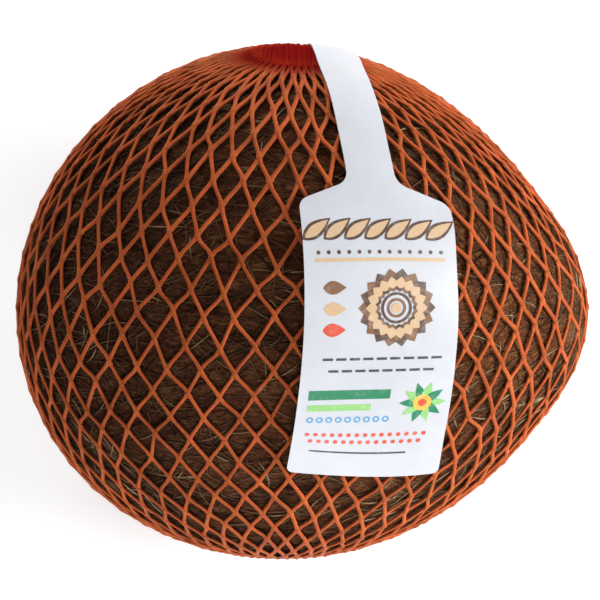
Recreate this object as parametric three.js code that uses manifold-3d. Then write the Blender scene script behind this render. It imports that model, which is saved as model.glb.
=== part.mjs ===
// A husked coconut in a carrying net. The nut lies on its side on a small flat spot. An extruded
// plastic net is drawn round it and gathered into a clip at each end, one high on the back and one
// low on the front, and a film tag comes out of the back clip, over the top and onto the front.
// Millimetres, +Z up, +X towards the nut's pointed end, -Y the front, where the tag ends.
import * as THREE from "three";
import { mergeVertices } from "three/addons/utils/BufferGeometryUtils.js";
import Module from "manifold-3d";

// ---- driving dimensions ----

// The nut is round about its long axis, which is level. Its widest section is at x = 0.
const NUT_RADIUS = 61.5; // at the widest section
const BLUNT_LENGTH = 63.6; // from the widest section to the round end
const POINTED_LENGTH = 72.2; // from the widest section to the pointed end
const BLUNT_POWER = 0.5; // a plain half ellipse
const POINTED_POWER = 0.68; // above 0.5 draws the end out to a point
const TIP_ROUNDING = 0.08; // takes the sharpness off the very tip
const RIDGE_SHARE = 0.023; // how far the three lengthwise ridges stand out, as a share of the radius
const BELLY_SHARE = 0.05; // how far the girth swells to one side of the long axis
const BELLY_TURN = 75; // and to which: degrees from the highest point towards the back
const FURROWS = 16; // fibrous furrows round the nut
const FURROW_DEPTH = 0.55;
const AXIS_HEIGHT = 59.9; // the long axis above the surface that the nut lies on
const NUT_FLAT = 1.35; // height of the nut's small flat spot above that surface
const MIDDLE_X = 4.8; // from the widest section to the middle of the whole object
const MIDDLE_Y = 6.5; // from the long axis to that middle

// The net is a tube of diamond meshes. Its strands are three-sided, with one edge outwards.
const MESHES_ROUND = 32;
const MESH_ROWS = 14;
const MESH_SLIMNESS = 0.53; // half a mesh's width over its strand's length, at the net's middle
const STRAND_HALF_WIDTH = 0.8;
const STRAND_HEIGHT = 1.2;
const BOND_LENGTH = 0.5; // two strands run together this far before and after a crossing
const NET_GAP = 0.7; // from the nut's skin to the underside of a crossing
const NET_TOP = NET_GAP + STRAND_HEIGHT;
const TIP_STAND_OFF = 0.9; // the net is stretched straight over the pointed end

// A gather is a pleated pad where the strands meet, a flat neck through a clip, and a flared tail.
// turn: degrees from the highest point of the nut towards the back. bend: the way that the neck runs.
// riseFrom: where the neck leaves the skin to lie over the net, and clipFrom: where its clip begins.
const TOP_GATHER = { turn: 54, bend: 1, x: 3, clipX: 3.2, riseFrom: 28, clipFrom: 45 };
const BOTTOM_GATHER = { turn: -114, bend: -1, x: -1, clipX: -1, riseFrom: 8, clipFrom: 18 };
const NECK_RISE = 6; // the rise takes this long
const LONGEST_STEP = 12; // between two sections of a neck that lies on the curved skin
const GATHER_RADIUS = 10.4; // the meshes start this far from the middle of a pad
const PAD_REACH = 10.4;
const PAD_HALF_HEIGHT = 0.65;
const NECK_HALF_WIDTH = 5.2;
const NECK_HALF_HEIGHT = 1.35;
const TAIL_LENGTH = 10;
const TAIL_HALF_WIDTH = 8;
const PLEATS = 8;
const PLEAT_SHARE = 0.1; // how far the pleats stand out, as a share of the neck's half width

const CLIP_LENGTH = 6;
const CLIP_WALL = 0.9;
const CLIP_CORNER = 1.3;
const CLEARANCE = 0.4; // between pieces that lie on or in each other

// The tag: a strap that widens at sloping shoulders into a printed panel. Its middle line bends
// where it is furthest towards the pointed end, and runs nearly straight away from there.
const TAG_X = 20; // where it is furthest
const TAG_TURN = -12.7; // and at which turn
const TAG_SLOPE = 0.2; // millimetres to the side per degree of turn, far from the bend
const TAG_BEND = 29.4; // degrees that the bend is spread over
const TAG_THICKNESS = 0.5;
const STRAP_WIDTH = 10.5;
const STRAP_END_WIDTH = 8.4; // in the clip
const STRAP_END_LENGTH = 5; // past the clip
const PANEL_WIDTH = 33.1;
const SHOULDER_LENGTH = 4.5;
const SHOULDER_TURN = 11.4; // degrees from the highest point, where the shoulders begin
const FOOT_TURN = -51.7; // where the panel ends
const FOOT_SLANT = 1; // half of what its two long edges differ by
const PANEL_EDGE_LIFT = 1.5; // the panel's long edges stand this much further off the net
const FOOT_LIFT = 1.6; // and so does its lower edge

const COLOURS = { nut: 0x4a3020, net: 0xc8502a, clip: 0xb9bcc0, tag: 0xe6e7ee };

const { clamp, degToRad, lerp, radToDeg, smoothstep } = THREE.MathUtils;

const wasm = await Module();
wasm.setup();

// ---- the nut's skin, in a frame whose origin is on the long axis at the widest section ----

const FLAT_Z = NUT_FLAT - AXIS_HEIGHT;
const GROUND_Z = -AXIS_HEIGHT;

// How far the skin is from the long axis at x. turn: degrees from straight up towards the back.
function skinRadius(x, turn) {
  const share = Math.min(1, Math.abs(x) / (x < 0 ? BLUNT_LENGTH : POINTED_LENGTH));
  const power = x < 0 ? BLUNT_POWER : POINTED_POWER - TIP_ROUNDING * share ** 8;
  const ridge = RIDGE_SHARE * Math.cos(3 * degToRad(turn));
  const belly = BELLY_SHARE * Math.cos(degToRad(turn - BELLY_TURN));
  return NUT_RADIUS * (1 - share ** 2) ** power * (1 + (ridge + belly) * (1 - share ** 2));
}

const turnOf = (p) => radToDeg(Math.atan2(p.y, p.z));

function skinAt(x, turn, lift = 0) {
  const reach = skinRadius(x, turn) + lift;
  return new THREE.Vector3(x, reach * Math.sin(degToRad(turn)), reach * Math.cos(degToRad(turn)));
}

// Above zero outside the skin.
function outside(p) {
  if (p.x <= -BLUNT_LENGTH || p.x >= POINTED_LENGTH) return 1;
  return Math.hypot(p.y, p.z) - skinRadius(p.x, turnOf(p));
}

function normalAt(p) {
  const step = 0.05;
  const slope = (axis) => {
    const ahead = p.clone();
    const back = p.clone();
    ahead[axis] += step;
    back[axis] -= step;
    return outside(ahead) - outside(back);
  };
  return new THREE.Vector3(slope("x"), slope("y"), slope("z")).normalize();
}

// Where a ray from an inner point leaves the nut.
function skinOnRay(from, direction) {
  let near = 0;
  let far = 2 * POINTED_LENGTH;
  for (let i = 0; i < 40; i++) {
    const middle = (near + far) / 2;
    if (outside(from.clone().addScaledVector(direction, middle)) > 0) far = middle;
    else near = middle;
  }
  return from.clone().addScaledVector(direction, near);
}

// A point of the skin moved outwards. Under the flat spot everything is pressed level.
function lifted(point, lift) {
  const standOff = TIP_STAND_OFF * smoothstep(point.x, 0.8 * POINTED_LENGTH, 0.97 * POINTED_LENGTH);
  const p = point.clone().addScaledVector(normalAt(point), lift + standOff);
  p.z = Math.max(p.z, FLAT_Z - lift);
  return p;
}

// ---- closed meshes and solids ----

// A manifold solid from points and triangles that all face one way.
function solidOf(points, faces) {
  const loose = new THREE.BufferGeometry().setFromPoints(points).setIndex(faces);
  const merged = mergeVertices(loose, 1e-4);
  const triVerts = new Uint32Array(merged.index.array);
  const made = () =>
    new wasm.Manifold(
      new wasm.Mesh({ numProp: 3, vertProperties: merged.attributes.position.array, triVerts }),
    );
  const first = made();
  if (first.volume() > 0) return first;
  for (let i = 0; i < triVerts.length; i += 3)
    [triVerts[i + 1], triVerts[i + 2]] = [triVerts[i + 2], triVerts[i + 1]];
  return made();
}

// A closed solid from rings of equal size, with a fan over each end.
function loft(rings) {
  const sides = rings[0].length;
  const points = rings.flat();
  const faces = [];
  const quad = (a, b, c, d) => faces.push(a, b, c, a, c, d);
  for (let i = 0; i + 1 < rings.length; i++)
    for (let k = 0; k < sides; k++) {
      const a = i * sides + k;
      const b = i * sides + ((k + 1) % sides);
      quad(a, b, b + sides, a + sides);
    }
  for (const end of [0, rings.length - 1]) {
    const centre = points.length;
    const sum = rings[end].reduce((total, p) => total.add(p), new THREE.Vector3());
    points.push(sum.divideScalar(sides));
    for (let k = 0; k < sides; k++) {
      const a = end * sides + k;
      const b = end * sides + ((k + 1) % sides);
      faces.push(...(end ? [centre, a, b] : [centre, b, a]));
    }
  }
  return solidOf(points, faces);
}

// A closed sheet between two grids of points of equal size, the upper and the lower.
function sheet(upper, lower) {
  const across = upper[0].length;
  const points = [...upper.flat(), ...lower.flat()];
  const under = upper.length * across;
  const faces = [];
  const quad = (a, b, c, d) => faces.push(a, b, c, a, c, d);
  for (let i = 0; i + 1 < upper.length; i++) {
    const [row, next] = [i * across, (i + 1) * across];
    for (let k = 0; k + 1 < across; k++) {
      quad(row + k, row + k + 1, next + k + 1, next + k);
      quad(under + row + k + 1, under + row + k, under + next + k, under + next + k + 1);
    }
    quad(under + row, row, next, under + next);
    quad(row + across - 1, under + row + across - 1, under + next + across - 1, next + across - 1);
  }
  const last = (upper.length - 1) * across;
  for (let k = 0; k + 1 < across; k++) {
    quad(under + k, under + k + 1, k + 1, k);
    quad(last + k, last + k + 1, under + last + k + 1, under + last + k);
  }
  return solidOf(points, faces);
}

function geometryOf(solid) {
  const mesh = solid.getMesh();
  const places = new Float32Array(mesh.numVert * 3);
  for (let i = 0; i < mesh.numVert; i++)
    places.set(mesh.vertProperties.subarray(i * mesh.numProp, i * mesh.numProp + 3), i * 3);
  const geometry = new THREE.BufferGeometry();
  geometry.setAttribute("position", new THREE.BufferAttribute(places, 3));
  geometry.setIndex(new THREE.BufferAttribute(new Uint32Array(mesh.triVerts), 1));
  geometry.computeVertexNormals();
  return geometry;
}

// Everything below a level, as a solid to cut with.
function below(level) {
  const box = new THREE.BoxGeometry(400, 400, 100).translate(0, 0, level - 50);
  box.deleteAttribute("normal");
  box.deleteAttribute("uv");
  const merged = mergeVertices(box);
  const triVerts = new Uint32Array(merged.index.array);
  const vertProperties = merged.attributes.position.array;
  return new wasm.Manifold(new wasm.Mesh({ numProp: 3, vertProperties, triVerts }));
}

// ---- nut ----

const NUT_SECTIONS = 34;
const NUT_SIDES = 56;

// Depth of the fibrous furrows, which fade out at both ends.
function furrow(x, turn, share) {
  const angle = degToRad(turn);
  const wander = 1.3 * Math.sin(x / 15) + 0.6 * Math.sin(x / 6.1 + 3 * angle);
  const fine = 0.5 + 0.5 * Math.cos(FURROWS * angle + wander);
  const broad = 0.5 + 0.5 * Math.cos(5 * angle - x / 11);
  return FURROW_DEPTH * (0.75 * fine + 0.25 * broad) * Math.sqrt(Math.max(0, 1 - share ** 4));
}

function nutSolid() {
  const rings = [];
  for (let i = 0; i < NUT_SECTIONS; i++) {
    const along = (Math.PI * (i + 0.6)) / (NUT_SECTIONS + 0.2);
    const share = -Math.cos(along);
    const x = share * (share < 0 ? BLUNT_LENGTH : POINTED_LENGTH);
    const turns = Array.from({ length: NUT_SIDES }, (_, k) => (360 * (k + (i % 2) / 2)) / NUT_SIDES);
    rings.push(turns.map((turn) => skinAt(x, turn, -furrow(x, turn, share))));
  }
  return loft(rings).subtract(below(FLAT_Z));
}

// ---- net ----

const topPole = skinAt(TOP_GATHER.x, TOP_GATHER.turn);
const bottomPole = skinAt(BOTTOM_GATHER.x, BOTTOM_GATHER.turn);
const netAxis = topPole.clone().sub(bottomPole).normalize();
const netMiddle = topPole.clone().add(bottomPole).multiplyScalar(0.5);
const netLevel = new THREE.Vector3(1, 0, 0).addScaledVector(netAxis, -netAxis.x).normalize();
const netSide = new THREE.Vector3().crossVectors(netAxis, netLevel);

// The way outwards from the net's axis, at an angle round it.
const outwards = (angle) =>
  netLevel.clone().multiplyScalar(Math.cos(angle)).addScaledVector(netSide, Math.sin(angle));

// Places at the given lengths along a line of points.
function alongLine(points, wanted) {
  const lengths = [0];
  for (let i = 1; i < points.length; i++)
    lengths.push(lengths[i - 1] + points[i].distanceTo(points[i - 1]));
  return wanted(lengths.at(-1)).map((length) => {
    const i = clamp(lengths.findIndex((l) => l > length), 1, points.length - 1);
    return i - 1 + (length - lengths[i - 1]) / (lengths[i] - lengths[i - 1]);
  });
}

// Angles round the net's axis whose points on the nut's girth are evenly spaced.
function evenAngles(count) {
  const steps = 720;
  const angleOf = (place) => (2 * Math.PI * place) / steps;
  const girth = Array.from({ length: steps + 1 }, (_, i) => skinOnRay(netMiddle, outwards(angleOf(i))));
  const spaced = (length) => Array.from({ length: count }, (_, n) => (length * n) / count);
  return alongLine(girth, spaced).map(angleOf);
}

// Shares of the way from the first row to the last: meshes are longer where the net is narrow.
function rowShares() {
  const shares = [0];
  for (let row = 0; row < MESH_ROWS; row++) {
    const slim = MESH_SLIMNESS * Math.sin((Math.PI * (row + 0.5)) / MESH_ROWS);
    shares.push(shares[row] + Math.sqrt(1 - slim ** 2));
  }
  return shares.map((share) => share / shares[MESH_ROWS]);
}

// Points of the skin along one meridian of the net, at the given shares of its length.
function meridian(angle, shares) {
  const steps = 240;
  const points = Array.from({ length: steps + 1 }, (_, i) => {
    const tilt = (Math.PI * i) / steps;
    const direction = netAxis.clone().multiplyScalar(Math.cos(tilt));
    return skinOnRay(netMiddle, direction.addScaledVector(outwards(angle), Math.sin(tilt)));
  });
  const spaced = (length) => shares.map((s) => lerp(GATHER_RADIUS, length - GATHER_RADIUS, s));
  return alongLine(points, spaced).map((place) => {
    const i = Math.floor(place);
    return points[i].clone().lerp(points[Math.min(i + 1, steps)], place - i);
  });
}

// The crossings of the net, row by row. Odd rows lie half a mesh further round.
function netCrossings() {
  const shares = rowShares();
  const columns = evenAngles(2 * MESHES_ROUND).map((angle) => meridian(angle, shares));
  return shares.map((_, row) =>
    Array.from({ length: MESHES_ROUND }, (_, n) => columns[2 * n + (row % 2)][row]),
  );
}

// The four corners and the ridge of a crossing, from the rows before and after its own.
function crossingPoints(rows, row, n) {
  const count = MESHES_ROUND;
  const crossing = rows[row][n];
  const side = row % 2 ? n : (n + count - 1) % count;
  const middleOf = (other) => other[side].clone().add(other[(side + 1) % count]).multiplyScalar(0.5);
  const down = rows[row + 1]
    ? middleOf(rows[row + 1]).sub(crossing)
    : crossing.clone().sub(middleOf(rows[row - 1]));
  const sideways = rows[row][(n + 1) % count].clone().sub(rows[row][(n + count - 1) % count]);
  sideways.multiplyScalar(0.25);
  const slant = Math.atan2(sideways.length(), down.length());
  down.setLength(Math.min(STRAND_HALF_WIDTH / Math.sin(slant) + BOND_LENGTH, 0.42 * down.length()));
  sideways.setLength(Math.min(STRAND_HALF_WIDTH / Math.cos(slant), 0.8 * sideways.length()));
  return [
    lifted(crossing.clone().sub(down), NET_GAP),
    lifted(crossing.clone().add(sideways), NET_GAP),
    lifted(crossing.clone().add(down), NET_GAP),
    lifted(crossing.clone().sub(sideways), NET_GAP),
    lifted(crossing, NET_TOP),
  ];
}

// One closed lattice: each strand is a three-sided bar, and four of them meet at a crossing.
function latticeSolid(rows) {
  const points = [];
  const crossings = rows.map((line, row) =>
    line.map((_, n) => {
      const first = points.length;
      points.push(...crossingPoints(rows, row, n));
      return { up: first, right: first + 1, down: first + 2, left: first + 3, ridge: first + 4 };
    }),
  );
  const faces = [];
  const quad = (a, b, c, d) => faces.push(a, b, c, a, c, d);
  const last = rows.length - 1;
  crossings.forEach((line, row) =>
    line.forEach((c, n) => {
      quad(c.up, c.left, c.down, c.right);
      if (row === 0) faces.push(c.ridge, c.up, c.right, c.ridge, c.left, c.up);
      if (row === last) {
        faces.push(c.ridge, c.right, c.down, c.ridge, c.down, c.left);
        return;
      }
      const next = crossings[row + 1];
      const a = next[row % 2 ? (n + 1) % MESHES_ROUND : n];
      const b = next[row % 2 ? n : (n + MESHES_ROUND - 1) % MESHES_ROUND];
      quad(c.ridge, a.ridge, a.left, c.down);
      quad(c.right, a.up, a.ridge, c.ridge);
      quad(c.down, a.left, a.up, c.right);
      quad(c.down, b.right, b.ridge, c.ridge);
      quad(c.ridge, b.ridge, b.up, c.left);
      quad(c.left, b.up, b.right, c.down);
    }),
  );
  return solidOf(points, faces);
}

// ---- gathers ----

const MM_PER_DEGREE = degToRad(NUT_RADIUS);

// The point of the skin under a gather, s mm along it from the middle of its pad.
function gatherPoint(gather, s) {
  const x = lerp(gather.x, gather.clipX, smoothstep(s, 0.5 * gather.clipFrom, gather.clipFrom - 2));
  return skinAt(x, gather.turn + (gather.bend * s) / MM_PER_DEGREE);
}

// The frame of a gather at s: the skin's point and the ways out and across.
function gatherFrame(gather, s) {
  const point = gatherPoint(gather, s);
  const along = gatherPoint(gather, s + 0.5).sub(gatherPoint(gather, s - 0.5)).normalize();
  const out = normalAt(point);
  return { point, out, along, across: new THREE.Vector3().crossVectors(along, out).normalize() };
}

// How far the underside of a neck is from the skin: on the pad, over the net, in the clip.
const IN_CLIP_LIFT = NET_TOP + 2 * CLEARANCE + CLIP_WALL;
function neckLift(gather, s) {
  const risen = smoothstep(s, gather.riseFrom, gather.riseFrom + NECK_RISE);
  const overNet = lerp(NET_GAP - 0.1, NET_TOP + CLEARANCE, risen);
  const clipTo = gather.clipFrom + CLIP_LENGTH;
  const near = smoothstep(s, gather.clipFrom - 6, gather.clipFrom - 0.5);
  const past = smoothstep(s, clipTo + 0.5, clipTo + 6);
  return lerp(overNet, IN_CLIP_LIFT, near - past);
}

// Half width and half height of a gather at s.
function gatherSize(gather, s) {
  if (s < 0) {
    const share = Math.sqrt(Math.max(0, 1 - (s / PAD_REACH) ** 2));
    return [PAD_REACH * share, PAD_HALF_HEIGHT * lerp(0.5, 1, share)];
  }
  const neck = smoothstep(s, 0, gather.clipFrom - 3);
  const clipTo = gather.clipFrom + CLIP_LENGTH;
  const flare = smoothstep(s, clipTo, clipTo + TAIL_LENGTH);
  const wide = lerp(PAD_REACH, NECK_HALF_WIDTH, neck);
  const thick = smoothstep(s, gather.riseFrom, gather.clipFrom - 3);
  return [lerp(wide, TAIL_HALF_WIDTH, flare), lerp(PAD_HALF_HEIGHT, NECK_HALF_HEIGHT, thick)];
}

function gatherSolid(gather) {
  const { riseFrom, clipFrom } = gather;
  const clipTo = clipFrom + CLIP_LENGTH;
  const pad = [-0.98, -0.8, -0.45, 0, 0.6].map((share) => share * PAD_REACH);
  const steps = Math.ceil((riseFrom - pad.at(-1)) / LONGEST_STEP);
  const onSkin = Array.from({ length: steps - 1 }, (_, i) => lerp(pad.at(-1), riseFrom, (i + 1) / steps));
  const rise = [0, 0.5, 1].map((share) => riseFrom + share * NECK_RISE);
  const neck = [...onSkin, ...rise, clipFrom - 4, clipFrom - 0.5];
  const tail = [clipTo + 0.5, clipTo + 0.5 * TAIL_LENGTH, clipTo + TAIL_LENGTH];
  const sides = 2 * PLEATS;
  return loft(
    [...pad, ...neck, ...tail].map((s) => {
      const { point, out, across } = gatherFrame(gather, s);
      const [wide, high] = gatherSize(gather, s);
      return Array.from({ length: sides }, (_, k) => {
        const angle = (2 * Math.PI * (k + 0.5)) / sides;
        const pleat = 1 + (k % 2 ? PLEAT_SHARE : -PLEAT_SHARE);
        const x = wide * pleat * Math.cos(angle);
        const y = neckLift(gather, s) + high * (1 + Math.sin(angle) * pleat);
        return point
          .clone()
          .addScaledVector(across, x)
          .addScaledVector(out, y - x ** 2 / (2 * NUT_RADIUS));
      });
    }),
  );
}

function netSolid() {
  return latticeSolid(netCrossings())
    .add(gatherSolid(TOP_GATHER))
    .add(gatherSolid(BOTTOM_GATHER))
    .subtract(below(GROUND_Z));
}

// ---- clips ----

const NECK_TOP = IN_CLIP_LIFT + 2 * (1 + PLEAT_SHARE) * NECK_HALF_HEIGHT;

function roundedRectangle(Path, halfWidth, low, high, corner) {
  const path = new Path();
  path.moveTo(-halfWidth + corner, low);
  path.lineTo(halfWidth - corner, low);
  path.absarc(halfWidth - corner, low + corner, corner, -Math.PI / 2, 0);
  path.absarc(halfWidth - corner, high - corner, corner, 0, Math.PI / 2);
  path.absarc(-halfWidth + corner, high - corner, corner, Math.PI / 2, Math.PI);
  path.absarc(-halfWidth + corner, low + corner, corner, Math.PI, 1.5 * Math.PI);
  return path;
}

// A crimped metal band round the neck and whatever else goes through it, extra mm thick.
function clipMesh(gather, extra) {
  const { point, out, along, across } = gatherFrame(gather, gather.clipFrom + CLIP_LENGTH / 2);
  const halfWidth = NECK_HALF_WIDTH * (1 + PLEAT_SHARE) + CLEARANCE + CLIP_WALL;
  const low = NET_TOP + CLEARANCE;
  const high = NECK_TOP + extra + CLEARANCE + CLIP_WALL;
  const shape = roundedRectangle(THREE.Shape, halfWidth, low, high, CLIP_CORNER);
  const inner = CLIP_CORNER - CLIP_WALL;
  shape.holes.push(
    roundedRectangle(THREE.Path, halfWidth - CLIP_WALL, low + CLIP_WALL, high - CLIP_WALL, inner),
  );
  const geometry = new THREE.ExtrudeGeometry(shape, {
    depth: CLIP_LENGTH,
    bevelEnabled: false,
    curveSegments: 4,
  });
  geometry.translate(0, 0, -CLIP_LENGTH / 2);
  const mesh = new THREE.Mesh(geometry);
  const right = new THREE.Vector3().crossVectors(out, along).normalize();
  const up = new THREE.Vector3().crossVectors(along, right);
  mesh.quaternion.setFromRotationMatrix(new THREE.Matrix4().makeBasis(right, up, along));
  mesh.position.copy(point);
  return mesh;
}

// ---- tag ----

const CLIP_TURN = TOP_GATHER.turn + TOP_GATHER.clipFrom / MM_PER_DEGREE;
const TAG_END_TURN = CLIP_TURN + (CLIP_LENGTH + STRAP_END_LENGTH) / MM_PER_DEGREE;
const SHOULDER_END_TURN = SHOULDER_TURN - SHOULDER_LENGTH / MM_PER_DEGREE;

function tagPoint(turn) {
  const free = TAG_X - TAG_SLOPE * (Math.hypot(turn - TAG_TURN, TAG_BEND) - TAG_BEND);
  const drawnIn = smoothstep(turn, CLIP_TURN - 14, CLIP_TURN - 1);
  return skinAt(lerp(free, TOP_GATHER.clipX, drawnIn), turn);
}

function tagHalfWidth(turn) {
  const shoulder = 1 - smoothstep(turn, SHOULDER_END_TURN, SHOULDER_TURN);
  const drawnIn = smoothstep(turn, CLIP_TURN - 12, CLIP_TURN - 1);
  return lerp(lerp(STRAP_WIDTH, STRAP_END_WIDTH, drawnIn), PANEL_WIDTH, shoulder) / 2;
}

// How far the tag's underside is from the skin: on the net, then over the gather and its neck.
function tagLift(turn) {
  const s = (turn - TOP_GATHER.turn) * MM_PER_DEGREE;
  const gatherTop = neckLift(TOP_GATHER, s) + 2 * (1 + PLEAT_SHARE) * gatherSize(TOP_GATHER, s)[1];
  const overGather = smoothstep(s, -PAD_REACH - 7, -PAD_REACH + 1);
  const under = lerp(NET_TOP, Math.max(NET_TOP, gatherTop), overGather);
  const foot = FOOT_LIFT * smoothstep(-turn, -FOOT_TURN - 22, -FOOT_TURN + 6);
  return under + CLEARANCE + foot;
}

function tagSolid() {
  const strap = Array.from({ length: 22 }, (_, i) => lerp(TAG_END_TURN, SHOULDER_TURN, i / 22));
  const shoulder = Array.from({ length: 6 }, (_, i) => lerp(SHOULDER_TURN, SHOULDER_END_TURN, i / 6));
  const panel = Array.from({ length: 12 }, (_, i) => lerp(SHOULDER_END_TURN, FOOT_TURN, i / 11));
  const shares = Array.from({ length: 7 }, (_, i) => (i - 3) / 3);
  const face = (height) =>
    [...strap, ...shoulder, ...panel].map((turn) => {
      const centre = tagPoint(turn);
      const along = tagPoint(turn + 0.5).sub(tagPoint(turn - 0.5));
      const across = new THREE.Vector3().crossVectors(along, normalAt(centre)).normalize();
      const panelShare = 1 - smoothstep(turn, SHOULDER_END_TURN - 6, SHOULDER_TURN);
      const slant = FOOT_SLANT * smoothstep(-turn, -FOOT_TURN - 20, -FOOT_TURN);
      along.setLength(slant);
      return shares.map((share) => {
        const place = centre.clone().addScaledVector(across, share * tagHalfWidth(turn));
        place.addScaledVector(along, -share);
        const under = skinAt(place.x, turnOf(place));
        const onTheNet = tagLift(turn) + PANEL_EDGE_LIFT * panelShare * share ** 2;
        return lifted(under, onTheNet + height);
      });
    });
  return sheet(face(TAG_THICKNESS), face(0));
}

// ---- the whole object ----

function dressed(mesh, name, color, roughness, metalness = 0) {
  mesh.name = name;
  mesh.material = new THREE.MeshStandardMaterial({ color, roughness, metalness });
  return mesh;
}

const coconut = new THREE.Group();
const solidMesh = (solid) => new THREE.Mesh(geometryOf(solid));
coconut.add(
  dressed(solidMesh(nutSolid()), "coconut", COLOURS.nut, 0.9),
  dressed(solidMesh(netSolid()), "net", COLOURS.net, 0.45),
  dressed(clipMesh(TOP_GATHER, TAG_THICKNESS + CLEARANCE), "clip_top", COLOURS.clip, 0.35, 1),
  dressed(clipMesh(BOTTOM_GATHER, 0), "clip_bottom", COLOURS.clip, 0.35, 1),
  dressed(solidMesh(tagSolid()), "tag", COLOURS.tag, 0.4),
);

// The origin is in the middle under the whole object, on the surface that it lies on.
coconut.position.set(-MIDDLE_X, -MIDDLE_Y, AXIS_HEIGHT);

export default coconut;
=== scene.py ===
"""A husked coconut in a stretched carrying net, with two crimped clips and a printed film tag.

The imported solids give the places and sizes. Each class below makes one sub-assembly as fine
meshes, worked out in the nut's own frame: millimetres, the origin on the nut's long axis at its
widest section, +X towards the pointed end, +Z up and -Y the front. A turn is an angle about the
long axis, from straight up towards the back.
"""

import logging
import math
from dataclasses import dataclass, field
from enum import Enum
from typing import Protocol, Sequence

import bpy
import numpy as np
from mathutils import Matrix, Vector


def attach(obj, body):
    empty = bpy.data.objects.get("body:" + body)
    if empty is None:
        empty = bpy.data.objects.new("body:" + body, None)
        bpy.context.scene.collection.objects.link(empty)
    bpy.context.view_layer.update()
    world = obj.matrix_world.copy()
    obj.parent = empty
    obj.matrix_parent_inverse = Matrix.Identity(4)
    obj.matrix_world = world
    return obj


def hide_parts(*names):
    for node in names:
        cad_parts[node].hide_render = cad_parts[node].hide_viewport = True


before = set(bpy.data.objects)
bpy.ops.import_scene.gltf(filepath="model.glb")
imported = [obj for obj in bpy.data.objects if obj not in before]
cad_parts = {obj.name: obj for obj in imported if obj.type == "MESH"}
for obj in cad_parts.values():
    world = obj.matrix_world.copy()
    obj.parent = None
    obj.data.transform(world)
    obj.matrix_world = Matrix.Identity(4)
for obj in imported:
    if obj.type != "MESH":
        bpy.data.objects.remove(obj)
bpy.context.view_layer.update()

log = logging.getLogger("coconut")

MM = 0.001
BODY = "root"
FULL_TURN = 2.0 * np.pi

Values = np.ndarray | float
Point = tuple[float, float, float]
Colour = tuple[float, float, float]
Span = tuple[float, float]
Socket = bpy.types.NodeSocket


def smoothstep(value: Values, low: Values, high: Values) -> np.ndarray:
    """Return the smooth 0 to 1 step of value between low and high."""
    share = np.clip((np.asarray(value, float) - low) / (high - low), 0.0, 1.0)
    return share * share * (3.0 - 2.0 * share)


def lerp(a: Values, b: Values, share: Values) -> Values:
    """Return the value that lies share of the way from a to b."""
    return a + (b - a) * share


def unit(vectors: np.ndarray) -> np.ndarray:
    """Return the vectors at length 1."""
    return vectors / np.linalg.norm(vectors, axis=-1, keepdims=True)


def lengths_along(line: np.ndarray) -> np.ndarray:
    """Return the length of a line of points up to each of them."""
    return np.concatenate([[0.0], np.cumsum(np.linalg.norm(np.diff(line, axis=0), axis=1))])


def read_at(wanted: np.ndarray, places: np.ndarray, table: np.ndarray) -> np.ndarray:
    """Return the rows of a table, read at wanted places between its own."""
    return np.stack([np.interp(wanted, places, column) for column in table.T], axis=-1)


# ---- form of the nut ----


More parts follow.
